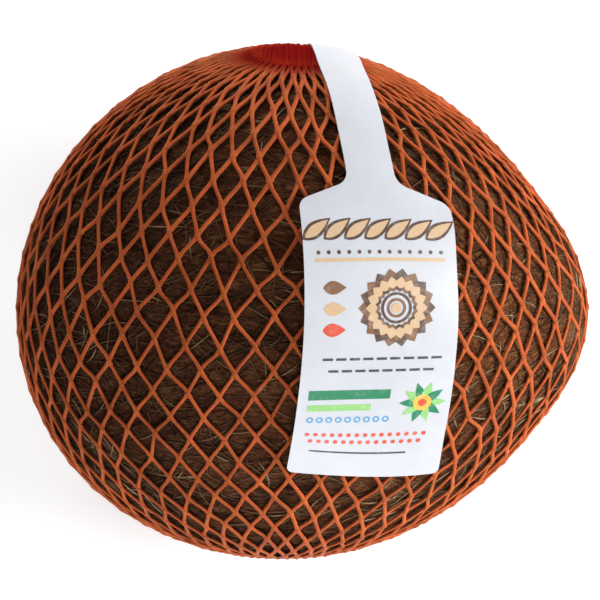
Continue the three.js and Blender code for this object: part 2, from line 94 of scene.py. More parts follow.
@dataclass(frozen=True)
class NutForm:
    """The nut's smooth skin: a body of revolution about a level axis, with three soft ridges.

    The powers round off its two ends, and shares are of its radius or of its pointed length. What
    lies on the skin stands off it a little at the point. Place is its origin in the row frame.
    """

    radius: float = 61.5
    blunt: float = 63.6
    pointed: float = 72.2
    blunt_power: float = 0.5
    pointed_power: float = 0.68
    tip_rounding: float = 0.08
    ridges: int = 3
    ridge_share: float = 0.023
    belly_share: float = 0.05
    belly_turn: float = 75.0
    flat_height: float = 1.35
    tip_stand_off: float = 0.9
    tip_span: Span = (0.8, 0.97)
    place: Point = (-4.8, -6.5, 59.9)

    @property
    def mm_per_degree(self) -> float:
        """Return the length of one degree of turn on the girth."""
        return math.radians(1.0) * self.radius

    @property
    def flat_level(self) -> float:
        """Return the height of the flat spot that the nut lies on."""
        return self.flat_height - self.place[2]

    def along(self, share: np.ndarray) -> np.ndarray:
        """Return places on the long axis, from -1 at the round end to 1 at the point."""
        return share * np.where(share < 0, self.blunt, self.pointed)

    def share(self, x: np.ndarray) -> np.ndarray:
        """Return how far x is towards its end of the nut, from 0 to 1."""
        x = np.asarray(x, float)
        return np.minimum(1.0, np.abs(x) / np.where(x < 0, self.blunt, self.pointed))

    def fade(self, x: np.ndarray, power: int) -> np.ndarray:
        """Return 1 at the middle of the nut and 0 at its ends, for relief that dies out there."""
        return np.sqrt(np.maximum(0.0, 1.0 - self.share(x) ** power))

    def reach(self, x: np.ndarray, turn: np.ndarray) -> np.ndarray:
        """Return the skin's distance from the long axis.

        Args:
            x: Places along the axis.
            turn: Turns in radians.

        Returns:
            Distances in millimetres.
        """
        share = self.share(x)
        left = 1.0 - share**2
        pointed_power = self.pointed_power - self.tip_rounding * share**8
        power = np.where(np.asarray(x) < 0, self.blunt_power, pointed_power)
        ridge = self.ridge_share * np.cos(self.ridges * np.asarray(turn))
        belly = self.belly_share * np.cos(np.asarray(turn) - math.radians(self.belly_turn))
        return self.radius * np.maximum(left, 0.0) ** power * (1.0 + (ridge + belly) * left)

    def at(self, x: np.ndarray, turn: np.ndarray, lift: Values = 0.0) -> np.ndarray:
        """Return points of the skin.

        Args:
            x: Places along the axis.
            turn: Turns in radians.
            lift: How far the points are moved away from the axis.

        Returns:
            The points.
        """
        reach = self.reach(x, turn) + lift
        x = np.broadcast_to(np.asarray(x, float), reach.shape)
        return np.stack([x, reach * np.sin(turn), reach * np.cos(turn)], axis=-1)

    def outside(self, points: np.ndarray) -> np.ndarray:
        """Tell which points are outside the skin.

        Args:
            points: Any points.

        Returns:
            Values above zero for those outside.
        """
        turn = np.arctan2(points[..., 1], points[..., 2])
        gap = np.hypot(points[..., 1], points[..., 2]) - self.reach(points[..., 0], turn)
        past = (points[..., 0] <= -self.blunt) | (points[..., 0] >= self.pointed)
        return np.where(past, 1.0, gap)

    def normals(self, points: np.ndarray) -> np.ndarray:
        """Return the ways outwards.

        Args:
            points: Points of the skin, or near it.

        Returns:
            One unit vector for each point.
        """
        step = 0.05
        slopes = []
        for shift in step * np.eye(3):
            slopes.append(self.outside(points + shift) - self.outside(points - shift))
        return unit(np.stack(slopes, axis=-1))

    def on_ray(self, start: np.ndarray, ways: np.ndarray) -> np.ndarray:
        """Return where rays from an inner point leave the nut.

        Args:
            start: The inner point.
            ways: Unit vectors.

        Returns:
            One point for each way.
        """
        halvings = 40
        near = np.zeros(ways.shape[:-1])
        far = np.full(ways.shape[:-1], 2.0 * self.pointed)
        for _ in range(halvings):
            middle = 0.5 * (near + far)
            out = self.outside(start + ways * middle[..., None]) > 0.0
            far = np.where(out, middle, far)
            near = np.where(out, near, middle)
        return start + ways * near[..., None]

    def lifted(self, points: np.ndarray, lift: Values) -> np.ndarray:
        """Move points of the skin outwards and press what is under the flat spot level.

        Args:
            points: Points of the skin.
            lift: Distances from the skin.

        Returns:
            The moved points.
        """
        starts, full = self.tip_span
        tip = smoothstep(points[..., 0], starts * self.pointed, full * self.pointed)
        moved = points + self.normals(points) * (lift + self.tip_stand_off * tip)[..., None]
        moved[..., 2] = np.maximum(moved[..., 2], self.flat_level - lift)
        return moved


# ---- meshes ----


class Finish(Protocol):
    """Anything that makes a material."""

    def make(self) -> bpy.types.Material:
        """Return the material."""


class MeshDraft:
    """Collects faces over vertices in the nut's frame, and makes them one object."""

    def __init__(self, form: NutForm) -> None:
        """Start an empty draft.

        Args:
            form: The nut whose frame the vertices are in.
        """
        self.form = form
        self.points: list[np.ndarray] = []
        self.faces: list[np.ndarray] = []
        self.uvs: list[np.ndarray] = []
        self.count = 0

    def add(self, points: np.ndarray, faces: np.ndarray, uv: np.ndarray | None = None) -> None:
        """Add vertices with quads or triangles that index into them.

        Args:
            points: Vertices, in any shape that ends in 3.
            faces: Faces of 3 or 4 indices, one row each.
            uv: Flat coordinates of the vertices, if they have any.
        """
        points = points.reshape(-1, 3)
        self.points.append(points)
        self.faces.append(faces + self.count)
        if uv is not None:
            self.uvs.append(uv.reshape(-1, 2))
        self.count += len(points)

    def tubes(self, lines: np.ndarray, radii: np.ndarray, sides: int, normals: np.ndarray,
              flat: float = 1.0) -> None:
        """Add many round bars of equal numbers of stations, closed at both ends.

        Args:
            lines: Centre points, shaped (bars, stations, 3).
            radii: Radii, broadcast to (bars, stations).
            sides: Sides of each bar.
            normals: The ways away from the nut, shaped like lines.
            flat: Height of a bar over its width.
        """
        bars, stations = lines.shape[:2]
        radii = np.broadcast_to(radii, (bars, stations))
        along = unit(np.gradient(lines, axis=1) + 1e-12)
        across = unit(np.cross(along, normals))
        out = np.cross(across, along)
        angles = FULL_TURN * (np.arange(sides) + 0.5) / sides
        rings = lines[:, :, None, :] + radii[:, :, None, None] * (
            np.cos(angles)[None, None, :, None] * across[:, :, None, :]
            + flat * np.sin(angles)[None, None, :, None] * out[:, :, None, :]
        )
        k = np.arange(sides)
        start = (np.arange(stations - 1) * sides)[:, None]
        here, after = start + k, start + (k + 1) % sides
        quads = np.stack([here, after, sides + after, sides + here], axis=-1).reshape(-1, 4)
        fan = np.array([[0, i + 1, i] for i in range(1, sides - 1)])
        caps = np.concatenate([fan, fan[:, ::-1] + (stations - 1) * sides])
        offsets = (np.arange(bars) * stations * sides)[:, None, None]
        first = self.count
        self.add(rings, (quads[None] + offsets).reshape(-1, 4))
        self.faces.append((caps[None] + offsets).reshape(-1, 3) + first)

    def grid(self, points: np.ndarray, wrap: bool = False, uv: np.ndarray | None = None,
             flip: bool = False) -> None:
        """Add a sheet of quads over a grid of points.

        Args:
            points: Points shaped (rows, columns, 3).
            wrap: True if the last column joins the first.
            uv: Flat coordinates shaped (rows, columns, 2).
            flip: True to turn the faces over.
        """
        rows, columns = points.shape[:2]
        k = np.arange(columns if wrap else columns - 1)
        a = (np.arange(rows - 1) * columns)[:, None] + k[None]
        b = (np.arange(rows - 1) * columns)[:, None] + ((k + 1) % columns)[None]
        quads = np.stack([a, b, b + columns, a + columns], axis=-1).reshape(-1, 4)
        self.add(points, quads[:, ::-1] if flip else quads, uv)

    def loft(self, rings: np.ndarray, flip: bool = False) -> None:
        """Add a closed body over a row of rings, with a fan of triangles in each end.

        Args:
            rings: Points shaped (rings, sides, 3).
            flip: True to turn the faces over.
        """
        self.grid(rings, wrap=True, flip=flip)
        sides = rings.shape[1]
        k = np.arange(sides)
        fan = np.stack([np.full_like(k, sides), k, (k + 1) % sides], axis=-1)
        for ring, turned in ((rings[0], not flip), (rings[-1], flip)):
            points = np.concatenate([ring, ring.mean(axis=0, keepdims=True)])
            self.add(points, fan[:, ::-1] if turned else fan)

    def build(self, name: str, finish: Finish) -> bpy.types.Object:
        """Make the object, in metres in the row frame, with no vertex below the ground.

        Args:
            name: The piece's name.
            finish: What it is dressed in.

        Returns:
            The new object.
        """
        points = np.concatenate(self.points) + np.array(self.form.place)
        points[:, 2] = np.maximum(points[:, 2], 0.0)
        mesh = bpy.data.meshes.new(name)
        faces = [row for block in self.faces for row in block.tolist()]
        mesh.from_pydata((points * MM).tolist(), [], faces)
        if self.uvs:
            flat = np.concatenate(self.uvs)
            layer = mesh.uv_layers.new(name="UVMap")
            corner = np.empty(len(mesh.loops), dtype=np.int32)
            mesh.loops.foreach_get("vertex_index", corner)
            layer.data.foreach_set("uv", flat[corner].astype(np.float32).ravel())
        mesh.polygons.foreach_set("use_smooth", [True] * len(mesh.polygons))
        mesh.update()
        piece = bpy.data.objects.new(name, mesh)
        bpy.context.scene.collection.objects.link(piece)
        mesh.materials.append(finish.make())
        return piece


class FibreNoise:
    """Seeded smooth noise on the nut's skin, stretched along the fibres."""

    START = -70.0
    SPAN = 150.0

    def __init__(self, seed: int, around: int, along: int) -> None:
        """Draw the table that the noise is read from."""
        self.table = np.random.default_rng(seed).random((around, along + 2))

    def __call__(self, x: np.ndarray, turn: np.ndarray) -> np.ndarray:
        """Return values from 0 to 1.

        Args:
            x: Places along the nut, in millimetres.
            turn: Turns in radians.

        Returns:
            One value for each place.
        """
        around, along = self.table.shape
        u = np.mod(turn / FULL_TURN, 1.0) * around
        v = np.clip((x - self.START) / self.SPAN, 0.0, 1.0) * (along - 2)
        i, j = np.floor(u).astype(int), np.floor(v).astype(int)
        s, t = smoothstep(u - i, 0.0, 1.0), smoothstep(v - j, 0.0, 1.0)
        i, k = i % around, (i + 1) % around
        low = lerp(self.table[i, j], self.table[k, j], s)
        high = lerp(self.table[i, j + 1], self.table[k, j + 1], s)
        return lerp(low, high, t)


# ---- finishes ----


class Shading:
    """A new material and its node tree, with short ways to add to it."""

    def __init__(self, name: str) -> None:
        """Start the material and find its surface shader.

        Args:
            name: The material's name.
        """
        self.material = bpy.data.materials.new(name)
        self.material.use_nodes = True
        self.tree = self.material.node_tree
        self.shader = self.tree.nodes["Principled BSDF"]

    def put(self, socket: Socket, value: object) -> None:
        """Link an input or set its value.

        Args:
            socket: The input.
            value: An output to link it to, or a number, a point or a colour.
        """
        if isinstance(value, Socket):
            self.tree.links.new(value, socket)
        else:
            socket.default_value = (*value, 1.0) if socket.type == "RGBA" else value

    def node(self, kind: str, inputs: dict[str | int, object], **settings: str) -> bpy.types.Node:
        """Add a node.

        Args:
            kind: The node's type, without the prefix that all types have.
            inputs: Values or sockets for its inputs, by name or number.
            settings: Values for its own properties.

        Returns:
            The new node.
        """
        made = self.tree.nodes.new("ShaderNode" + kind)
        for key, value in settings.items():
            setattr(made, key, value)
        for key, value in inputs.items():
            self.put(made.inputs[key], value)
        return made

    def dress(self, inputs: dict[str, object]) -> None:
        """Give the surface shader's inputs their values or sockets, by name."""
        for key, value in inputs.items():
            self.put(self.shader.inputs[key], value)

    def place(self) -> Socket:
        """Return object coordinates."""
        return self.node("TexCoord", {}).outputs["Object"]

    def noise(self, stretch: Point = (1.0, 1.0, 1.0), scale: float = 1.0, detail: float = 4.0,
              rough: float = 0.6, bend: float = 0.0) -> Socket:
        """Add a noise texture over object coordinates.

        Args:
            stretch: How the coordinates are scaled, axis by axis.
            scale: How the noise is scaled.
            detail: How many octaves it has.
            rough: How strong the finer ones are.
            bend: How far it is distorted.

        Returns:
            The noise's value.
        """
        place = self.node("Mapping", {"Vector": self.place(), "Scale": stretch})
        inputs = {"Vector": place.outputs["Vector"], "Scale": scale, "Detail": detail,
                  "Roughness": rough, "Distortion": bend}
        return self.node("TexNoise", inputs).outputs["Fac"]

    def ramp(self, factor: Socket, stops: Sequence[tuple[float, Colour]]) -> Socket:
        """Add a colour ramp.

        Args:
            factor: What the ramp reads.
            stops: Places from 0 to 1 with linear colours.

        Returns:
            The ramp's colour.
        """
        made = self.node("ValToRGB", {"Fac": factor})
        elements = made.color_ramp.elements
        while len(elements) < len(stops):
            elements.new(0.5)
        for element, (place, colour) in zip(elements, stops):
            element.position = place
            element.color = (*colour, 1.0)
        return made.outputs["Color"]

    def mixed(self, share: Socket, a: Socket | Colour, b: Socket | Colour) -> Socket:
        """Return the colour that lies share of the way from a to b."""
        return self.node("Mix", {0: share, 6: a, 7: b}, data_type="RGBA").outputs[2]

    def rescaled(self, value: Socket, ends: tuple[Socket | float, float], span: Span = (0.0, 1.0),
                 ease: str = "LINEAR") -> Socket:
        """Move a value from one span onto another.

        Args:
            value: The value.
            ends: The new span's ends.
            span: The old span's ends.
            ease: How the way between them is taken.

        Returns:
            The new value.
        """
        inputs = {"Value": value, "From Min": span[0], "From Max": span[1],
                  "To Min": ends[0], "To Max": ends[1]}
        return self.node("MapRange", inputs, interpolation_type=ease).outputs["Result"]

    def bump(self, height: Socket, strength: float, distance: float) -> None:
        """Drive the surface's normal by a height, over a distance in metres."""
        made = self.node("Bump", {"Height": height, "Strength": strength, "Distance": distance})
        self.put(self.shader.inputs["Normal"], made.outputs["Normal"])


def toned(colour: Colour, share: float) -> Colour:
    """Return a colour made lighter or darker."""
    return tuple(min(1.0, share * part) for part in colour)


@dataclass(frozen=True)
class HuskFinish:
    """Dry brown fibre: dark towards the round end, lighter and more golden towards the point.

    That change along the nut is partly the fibre's own tone, partly painted shade at the round end
    and painted light at the point. Its two sets of ramp stops are for those ends, which lie at the
    given places in metres.
    """

    dark: tuple[tuple[float, Colour], ...] = (
        (0.36, (0.017, 0.0062, 0.0042)),
        (0.52, (0.046, 0.0180, 0.0105)),
        (0.72, (0.135, 0.064, 0.034)),
    )
    pale: tuple[tuple[float, Colour], ...] = (
        (0.36, (0.066, 0.017, 0.007)),
        (0.53, (0.22, 0.074, 0.024)),
        (0.68, (0.44, 0.215, 0.085)),
    )
    ends: Span = (-0.06, 0.07)
    streak_stretch: Point = (210.0, 900.0, 900.0)
    patch_stretch: Point = (30.0, 55.0, 55.0)
    roughness: Span = (0.95, 0.7)
    relief: float = 0.0006

    def make(self) -> bpy.types.Material:
        """Make the material.

        Returns:
            The material.
        """
        shading = Shading("husk_fibre")
        x = shading.node("SeparateXYZ", {"Vector": shading.place()}).outputs["X"]
        # Painted shade and light: the dark stops at the round end and the pale stops at the point,
        # mixed along the nut, are partly the fibre's tone and partly painted shade and painted
        # light.
        towards_point = shading.rescaled(x, (0.0, 1.0), self.ends)
        streaks = shading.noise(self.streak_stretch, detail=6.0, rough=0.7, bend=1.6)
        patches = shading.noise(self.patch_stretch, detail=3.0, rough=0.55)
        dark, pale = shading.ramp(streaks, self.dark), shading.ramp(streaks, self.pale)
        share = shading.node("Math", {0: towards_point, 1: patches}, operation="MULTIPLY")
        shading.dress({
            "Base Color": shading.mixed(share.outputs[0], dark, pale),
            "Roughness": shading.rescaled(streaks, self.roughness),
            "Specular IOR Level": 0.0,
        })
        shading.bump(streaks, 0.8, self.relief)
        return shading.material


@dataclass(frozen=True)
class StrandFinish:
    """One kind of loose husk fibre."""

    name: str
    dark: Colour
    light: Colour
    tint_stretch: Point = (60.0, 160.0, 160.0)
    grain_stretch: Point = (300.0, 2500.0, 2500.0)
    roughness: float = 0.62
    gloss: float = 0.06
    relief: float = 0.0001

    def make(self) -> bpy.types.Material:
        """Make the material.

        Returns:
            The material.
        """
        shading = Shading(self.name)
        tint = shading.noise(self.tint_stretch, detail=2.0)
        shading.dress({
            "Base Color": shading.ramp(tint, [(0.38, self.dark), (0.64, self.light)]),
            "Roughness": self.roughness,
            "Specular IOR Level": self.gloss,
        })
        shading.bump(shading.noise(self.grain_stretch), 0.4, self.relief)
        return shading.material


@dataclass(frozen=True)
class NetFinish:
    """Translucent extruded plastic, deeper red, darker and dull where its strands are packed
    together.

    That colour near the gathers is partly the packed plastic's deeper tone and partly painted shade
    between the packed strands. It is full nearer to a pole than near and not at all past far, all
    in metres.
    """

    name: str
    poles: tuple[Point, ...]
    strand: Colour = (0.39, 0.086, 0.026)
    bunched_tone_and_shade: Colour = (0.17, 0.005, 0.004)
    gloss: float = 0.015
    glow: float = 0.3
    glow_radius: Point = (1.0, 0.16, 0.05)
    glow_depth: float = 0.0009
    near: float = 0.010
    far: float = 0.020
    roughness: Span = (0.3, 0.5)
    refraction: float = 1.49
    relief: float = 0.00008

    def make(self) -> bpy.types.Material:
        """Make the material.

        Returns:
            The material.
        """
        shading = Shading(self.name)
        tint = shading.noise((120.0, 120.0, 120.0), detail=2.0)
        duller, paler = toned(self.strand, 0.78), toned(self.strand, 1.25)
        colour = shading.ramp(tint, [(0.35, duller), (0.5, self.strand), (0.68, paler)])
        place, shine = shading.place(), self.gloss
        # Painted shade: towards each pole the colour goes to the darker packed colour, partly the
        # plastic's deeper tone and partly painted shade between the strands.
        for pole in self.poles:
            gap = shading.node("VectorMath", {0: place, 1: pole}, operation="DISTANCE")
            share = shading.rescaled(
                gap.outputs["Value"], (1.0, 0.0), (self.near, self.far), "SMOOTHSTEP")
            colour = shading.mixed(share, colour, self.bunched_tone_and_shade)
            shine = shading.rescaled(share, (shine, 0.0))
        grain = shading.noise(scale=1400.0, detail=3.0)
        shading.dress({
            "Base Color": colour,
            "Specular IOR Level": shine,
            "Roughness": shading.rescaled(grain, self.roughness),
            "Subsurface Weight": self.glow,
            "Subsurface Radius": self.glow_radius,
            "Subsurface Scale": self.glow_depth,
            "IOR": self.refraction,
        })
        shading.bump(grain, 0.25, self.relief)
        return shading.material


@dataclass(frozen=True)
class MetalFinish:
    """Satin crimped aluminium with fine scratches."""

    colour: Colour = (0.62, 0.63, 0.65)
    scratch_stretch: Point = (2600.0, 220.0, 220.0)
    roughness: Span = (0.22, 0.48)
    relief: float = 0.00005

    def make(self) -> bpy.types.Material:
        """Make the material.

        Returns:
            The material.
        """
        shading = Shading("clip_metal")
        scratches = shading.noise(self.scratch_stretch, detail=5.0, rough=0.7)
        stops = [(0.35, toned(self.colour, 0.72)), (0.6, self.colour)]
        shading.dress({
            "Base Color": shading.ramp(scratches, stops),
            "Roughness": shading.rescaled(scratches, self.roughness),
            "Metallic": 1.0,
        })
        shading.bump(scratches, 0.3, self.relief)
        return shading.material


@dataclass(frozen=True)
class FilmFinish:
    """White satin film with a faint cool cast, and hazy where it is rubbed."""

    colour: Colour = (0.535, 0.548, 0.585)
    roughness: Span = (0.32, 0.5)
    glow: float = 0.15
    glow_depth: float = 0.0006
    relief: float = 0.00006

    def make(self) -> bpy.types.Material:
        """Make the material.

        Returns:
            The material.
        """
        shading = Shading("tag_film")
        haze = shading.noise((70.0, 70.0, 70.0))
        stops = [(0.35, toned(self.colour, 0.93)), (0.6, self.colour)]
        shading.dress({
            "Base Color": shading.ramp(haze, stops),
            "Roughness": shading.rescaled(haze, self.roughness),
            "Subsurface Weight": self.glow,
            "Subsurface Scale": self.glow_depth,
        })
        shading.bump(shading.noise(scale=900.0, detail=3.0), 0.15, self.relief)
        return shading.material


@dataclass(frozen=True)
class PaperFinish:
    """The floor's matt white, which glows a little."""

    shades: tuple[Colour, Colour] = ((0.90, 0.90, 0.90), (0.93, 0.93, 0.93))
    glow: float = 0.25

    def make(self) -> bpy.types.Material:
        """Make the material.

        Returns:
            The material.
        """
        shading = Shading("floor_paper")
        grain = shading.noise((6.0, 6.0, 6.0))
        shading.dress({
            "Base Color": shading.ramp(grain, list(zip((0.3, 0.7), self.shades))),
            "Roughness": 0.9,
            "Emission Color": (1.0, 1.0, 1.0),
            "Emission Strength": self.glow,
        })
        return shading.material


class Ink(Enum):
    """The inks of the tag's print, in linear colour."""

    BARK = (0.085, 0.045, 0.028)
    SAND = (0.56, 0.38, 0.22)
    LEAF = (0.016, 0.19, 0.085)
    LIME = (0.24, 0.50, 0.16)
    SKY = (0.06, 0.28, 0.52)
    EMBER = (0.60, 0.075, 0.035)
    SLATE = (0.055, 0.055, 0.07)
    SUN = (0.80, 0.42, 0.07)
    UMBER = (0.20, 0.095, 0.045)

    def make(self) -> bpy.types.Material:
        """Make the ink's material, which is paler where it lies thin.

        Returns:
            The material.
        """
        film_tone, thinning = 0.8, 0.12
        shading = Shading("ink_" + self.name.lower())
        thin = tuple(lerp(part, film_tone, thinning) for part in self.value)
        cover = shading.ramp(shading.noise(scale=700.0), [(0.3, thin), (0.5, self.value)])
        shading.dress({"Base Color": cover, "Roughness": 0.36})
        return shading.material


# ---- nut ----


@dataclass(frozen=True)
class FibreMat:
    """One layer of the matted relief: its seed, its cells around and along, and its share."""

    seed: int
    around: int
    along: int
    share: float


@dataclass(frozen=True)
class FibreKind:
    """One kind of fibre that lies on the husk, with its sizes in millimetres.

    Its heading is how far, in radians, the fibres turn from the long axis.
    """

    name: str
    count: int
    length: Span
    heading: float
    height: float
    radius: float
    finish: StrandFinish


@dataclass
class Husk:
    """The nut's fibrous outside: its body, the fibres that lie on it and the tuft at its point."""

    form: NutForm
    sections: int = 284
    sides: int = 312
    furrows: int = 16
    broad_furrows: int = 5
    furrow_depth: float = 0.55
    furrow_share: float = 0.6
    mats: tuple[FibreMat, ...] = (
        FibreMat(1, 74, 9, 0.42), FibreMat(2, 131, 17, 0.34), FibreMat(3, 233, 34, 0.24))
    mat_height: float = 0.95
    mat_drop: float = 0.62
    tip_swell: float = 1.45
    tip_span: Span = (0.78, 0.96)
    seed: int = 11
    kinds: tuple[FibreKind, ...] = (
        FibreKind("husk_fibres", 3900, (6.0, 24.0), 0.65, 0.40, 0.13,
                  StrandFinish("fibre_brown", (0.026, 0.011, 0.006), (0.15, 0.080, 0.042))),
        FibreKind("husk_straw", 820, (2.5, 12.0), 0.95, 0.60, 0.18,
                  StrandFinish("fibre_straw", (0.10, 0.060, 0.030), (0.32, 0.22, 0.115))),
    )
    fibre_taper: tuple[float, ...] = (0.35, 0.75, 1.0, 1.0, 1.0, 1.0, 0.9, 0.65, 0.25)
    fibre_sides: int = 3
    fibre_widths: Span = (0.55, 1.25)
    fibre_lifts: Span = (0.25, 1.0)
    fibre_arch: float = 0.7
    fibre_curl: float = 0.09
    fibre_sink: float = 0.12
    fibre_settle: float = 0.5
    fibre_under: float = 0.2
    fibre_reach: float = 0.97
    fibre_limit: float = 0.985
    least_reach: float = 6.0
    tuft_count: int = 260
    tuft_stations: int = 8
    tuft_from: Span = (0.80, 0.96)
    tuft_length: Span = (5.0, 14.0)
    tuft_swirl: float = 0.35
    tuft_lift: Span = (0.1, 0.9)
    tuft_sink: float = 0.05
    tuft_short_of: float = 0.3
    tuft_radius: float = 0.17
    tuft_widths: Span = (0.6, 1.2)
    tuft_tip: float = 0.35
    tuft_finish: StrandFinish = StrandFinish("fibre_tip", (0.055, 0.024, 0.009), (0.20, 0.10, 0.04))

    def furrow(self, x: np.ndarray, turn: np.ndarray) -> np.ndarray:
        """Return the depth of the broad furrows.

        Args:
            x: Places along the axis.
            turn: Turns in radians.

        Returns:
            Depths in millimetres.
        """
        wander = 1.3 * np.sin(x / 15.0) + 0.6 * np.sin(x / 6.1 + 3.0 * turn)
        fine = 0.5 + 0.5 * np.cos(self.furrows * turn + wander)
        broad = 0.5 + 0.5 * np.cos(self.broad_furrows * turn - x / 11.0)
        return self.furrow_depth * (0.75 * fine + 0.25 * broad) * self.form.fade(x, 4)

    def relief(self, x: np.ndarray, turn: np.ndarray) -> np.ndarray:
        """Return the height of the matted fibre on the skin.

        Args:
            x: Places along the axis.
            turn: Turns in radians.

        Returns:
            Heights in millimetres, below zero in the hollows.
        """
        warp = 0.10 * np.sin(x / 19.0 + 2.0 * turn) + 0.05 * np.sin(x / 7.3 - 5.0 * turn)
        height = np.zeros_like(x)
        for mat in self.mats:
            grain = FibreNoise(self.seed + mat.seed, mat.around, mat.along)(x, turn + warp)
            height += mat.share * (1.0 - np.abs(2.0 * grain - 1.0))
        return self.mat_height * height - self.mat_drop

    def swollen(self, x: np.ndarray, turn: np.ndarray, lift: np.ndarray) -> np.ndarray:
        """Return points over the skin, which is fuller at the pointed end.

        Args:
            x: Places along the axis.
            turn: Turns in radians.
            lift: Heights over the skin.

        Returns:
            The points.
        """
        points = self.form.at(x, turn, lift)
        starts, full = self.tip_span
        tip = smoothstep(x, starts * self.form.pointed, full * self.form.pointed)
        return points + self.form.normals(points) * (self.tip_swell * tip)[..., None]

    def surface(self, x: np.ndarray, turn: np.ndarray) -> np.ndarray:
        """Return points of the finished husk body.

        Args:
            x: Places along the axis.
            turn: Turns in radians.

        Returns:
            The points.
        """
        mat = self.relief(x, turn) * self.form.fade(x, 6)
        points = self.swollen(x, turn, -self.furrow(x, turn) * self.furrow_share + mat)
        points[..., 2] = np.maximum(points[..., 2], self.form.flat_level)
        return points

    def build(self) -> list[bpy.types.Object]:
        """Make the husk's pieces. All fibres come from one run of random draws, in this order.

        Returns:
            The body, each kind of fibre and the tuft.
        """
        rng = np.random.default_rng(self.seed)
        body = self._body()
        fibres = [self._fibres(kind, rng) for kind in self.kinds]
        return [body, *fibres, self._tuft(rng)]

    def _body(self) -> bpy.types.Object:
        """Make the body, with its sections closer together towards the ends.

        Returns:
            The body.
        """
        along = np.pi * (np.arange(self.sections) + 0.6) / (self.sections + 0.2)
        turn = FULL_TURN * np.arange(self.sides) / self.sides
        xs, turns = np.meshgrid(self.form.along(-np.cos(along)), turn, indexing="ij")
        draft = MeshDraft(self.form)
        draft.loft(self.surface(xs, turns), flip=True)
        return draft.build("husk_body", HuskFinish())

    def _strays(self, kind: FibreKind, rng: np.random.Generator) -> np.ndarray:
        """Lay fibres on the husk.

        Args:
            kind: The kind of fibre.
            rng: The random draws.

        Returns:
            Their centre lines, shaped (count, stations, 3).
        """
        form, count, steps = self.form, kind.count, len(self.fibre_taper) - 1
        x = form.along(rng.uniform(-self.fibre_reach, self.fibre_reach, count))
        turn = rng.uniform(0.0, FULL_TURN, count)
        heading = rng.normal(0.0, kind.heading, count)
        curl = rng.normal(0.0, self.fibre_curl, count)
        step = rng.uniform(*kind.length, count) / steps
        lift = rng.uniform(*self.fibre_lifts, count) * kind.height
        first, last = -self.fibre_limit * form.blunt, self.fibre_limit * form.pointed
        line = []
        for i in range(steps + 1):
            arch = math.sin(math.pi * i / steps) ** self.fibre_arch
            bed = self.relief(x, turn) * self.fibre_settle
            line.append(self.swollen(x, turn, bed + lift * arch - self.fibre_sink))
            reach = np.maximum(form.reach(x, turn), self.least_reach)
            x = np.clip(x + step * np.cos(heading), first, last)
            turn = turn + step * np.sin(heading) / reach
            heading = heading + curl
        lines = np.stack(line, axis=1)
        lines[..., 2] = np.maximum(lines[..., 2], form.flat_level - self.fibre_under)
        return lines

    def _fibres(self, kind: FibreKind, rng: np.random.Generator) -> bpy.types.Object:
        """Make all the fibres of one kind.

        Args:
            kind: The kind of fibre.
            rng: The random draws.

        Returns:
            The piece.
        """
        lines = self._strays(kind, rng)
        widths = rng.uniform(*self.fibre_widths, kind.count)[:, None]
        radii = kind.radius * widths * np.array(self.fibre_taper)[None]
        draft = MeshDraft(self.form)
        draft.tubes(lines, radii, self.fibre_sides, self.form.normals(lines))
        return draft.build(kind.name, kind.finish)

    def _tuft(self, rng: np.random.Generator) -> bpy.types.Object:
        """Make the short fibres that run together at the pointed end.

        Args:
            rng: The random draws.

        Returns:
            The piece.
        """
        count, point = self.tuft_count, self.form.pointed
        turn = rng.uniform(0.0, FULL_TURN, count)
        start = rng.uniform(*self.tuft_from, count) * point
        end = start + rng.uniform(*self.tuft_length, count)
        end = np.minimum(end, point - self.tuft_short_of)
        swirl = rng.normal(0.0, self.tuft_swirl, count)
        lift = rng.uniform(*self.tuft_lift, count)
        line = []
        for i in range(self.tuft_stations):
            share = i / (self.tuft_stations - 1)
            height = lift * smoothstep(share, -0.2, 1.0) - self.tuft_sink
            line.append(self.swollen(lerp(start, end, share), turn + swirl * share, height))
        lines = np.stack(line, axis=1)
        taper = np.linspace(1.0, self.tuft_tip, self.tuft_stations)
        radii = self.tuft_radius * rng.uniform(*self.tuft_widths, count)[:, None] * taper
        draft = MeshDraft(self.form)
        draft.tubes(lines, radii, self.fibre_sides, self.form.normals(lines))
        return draft.build("husk_tuft", self.tuft_finish)


# ---- net ----


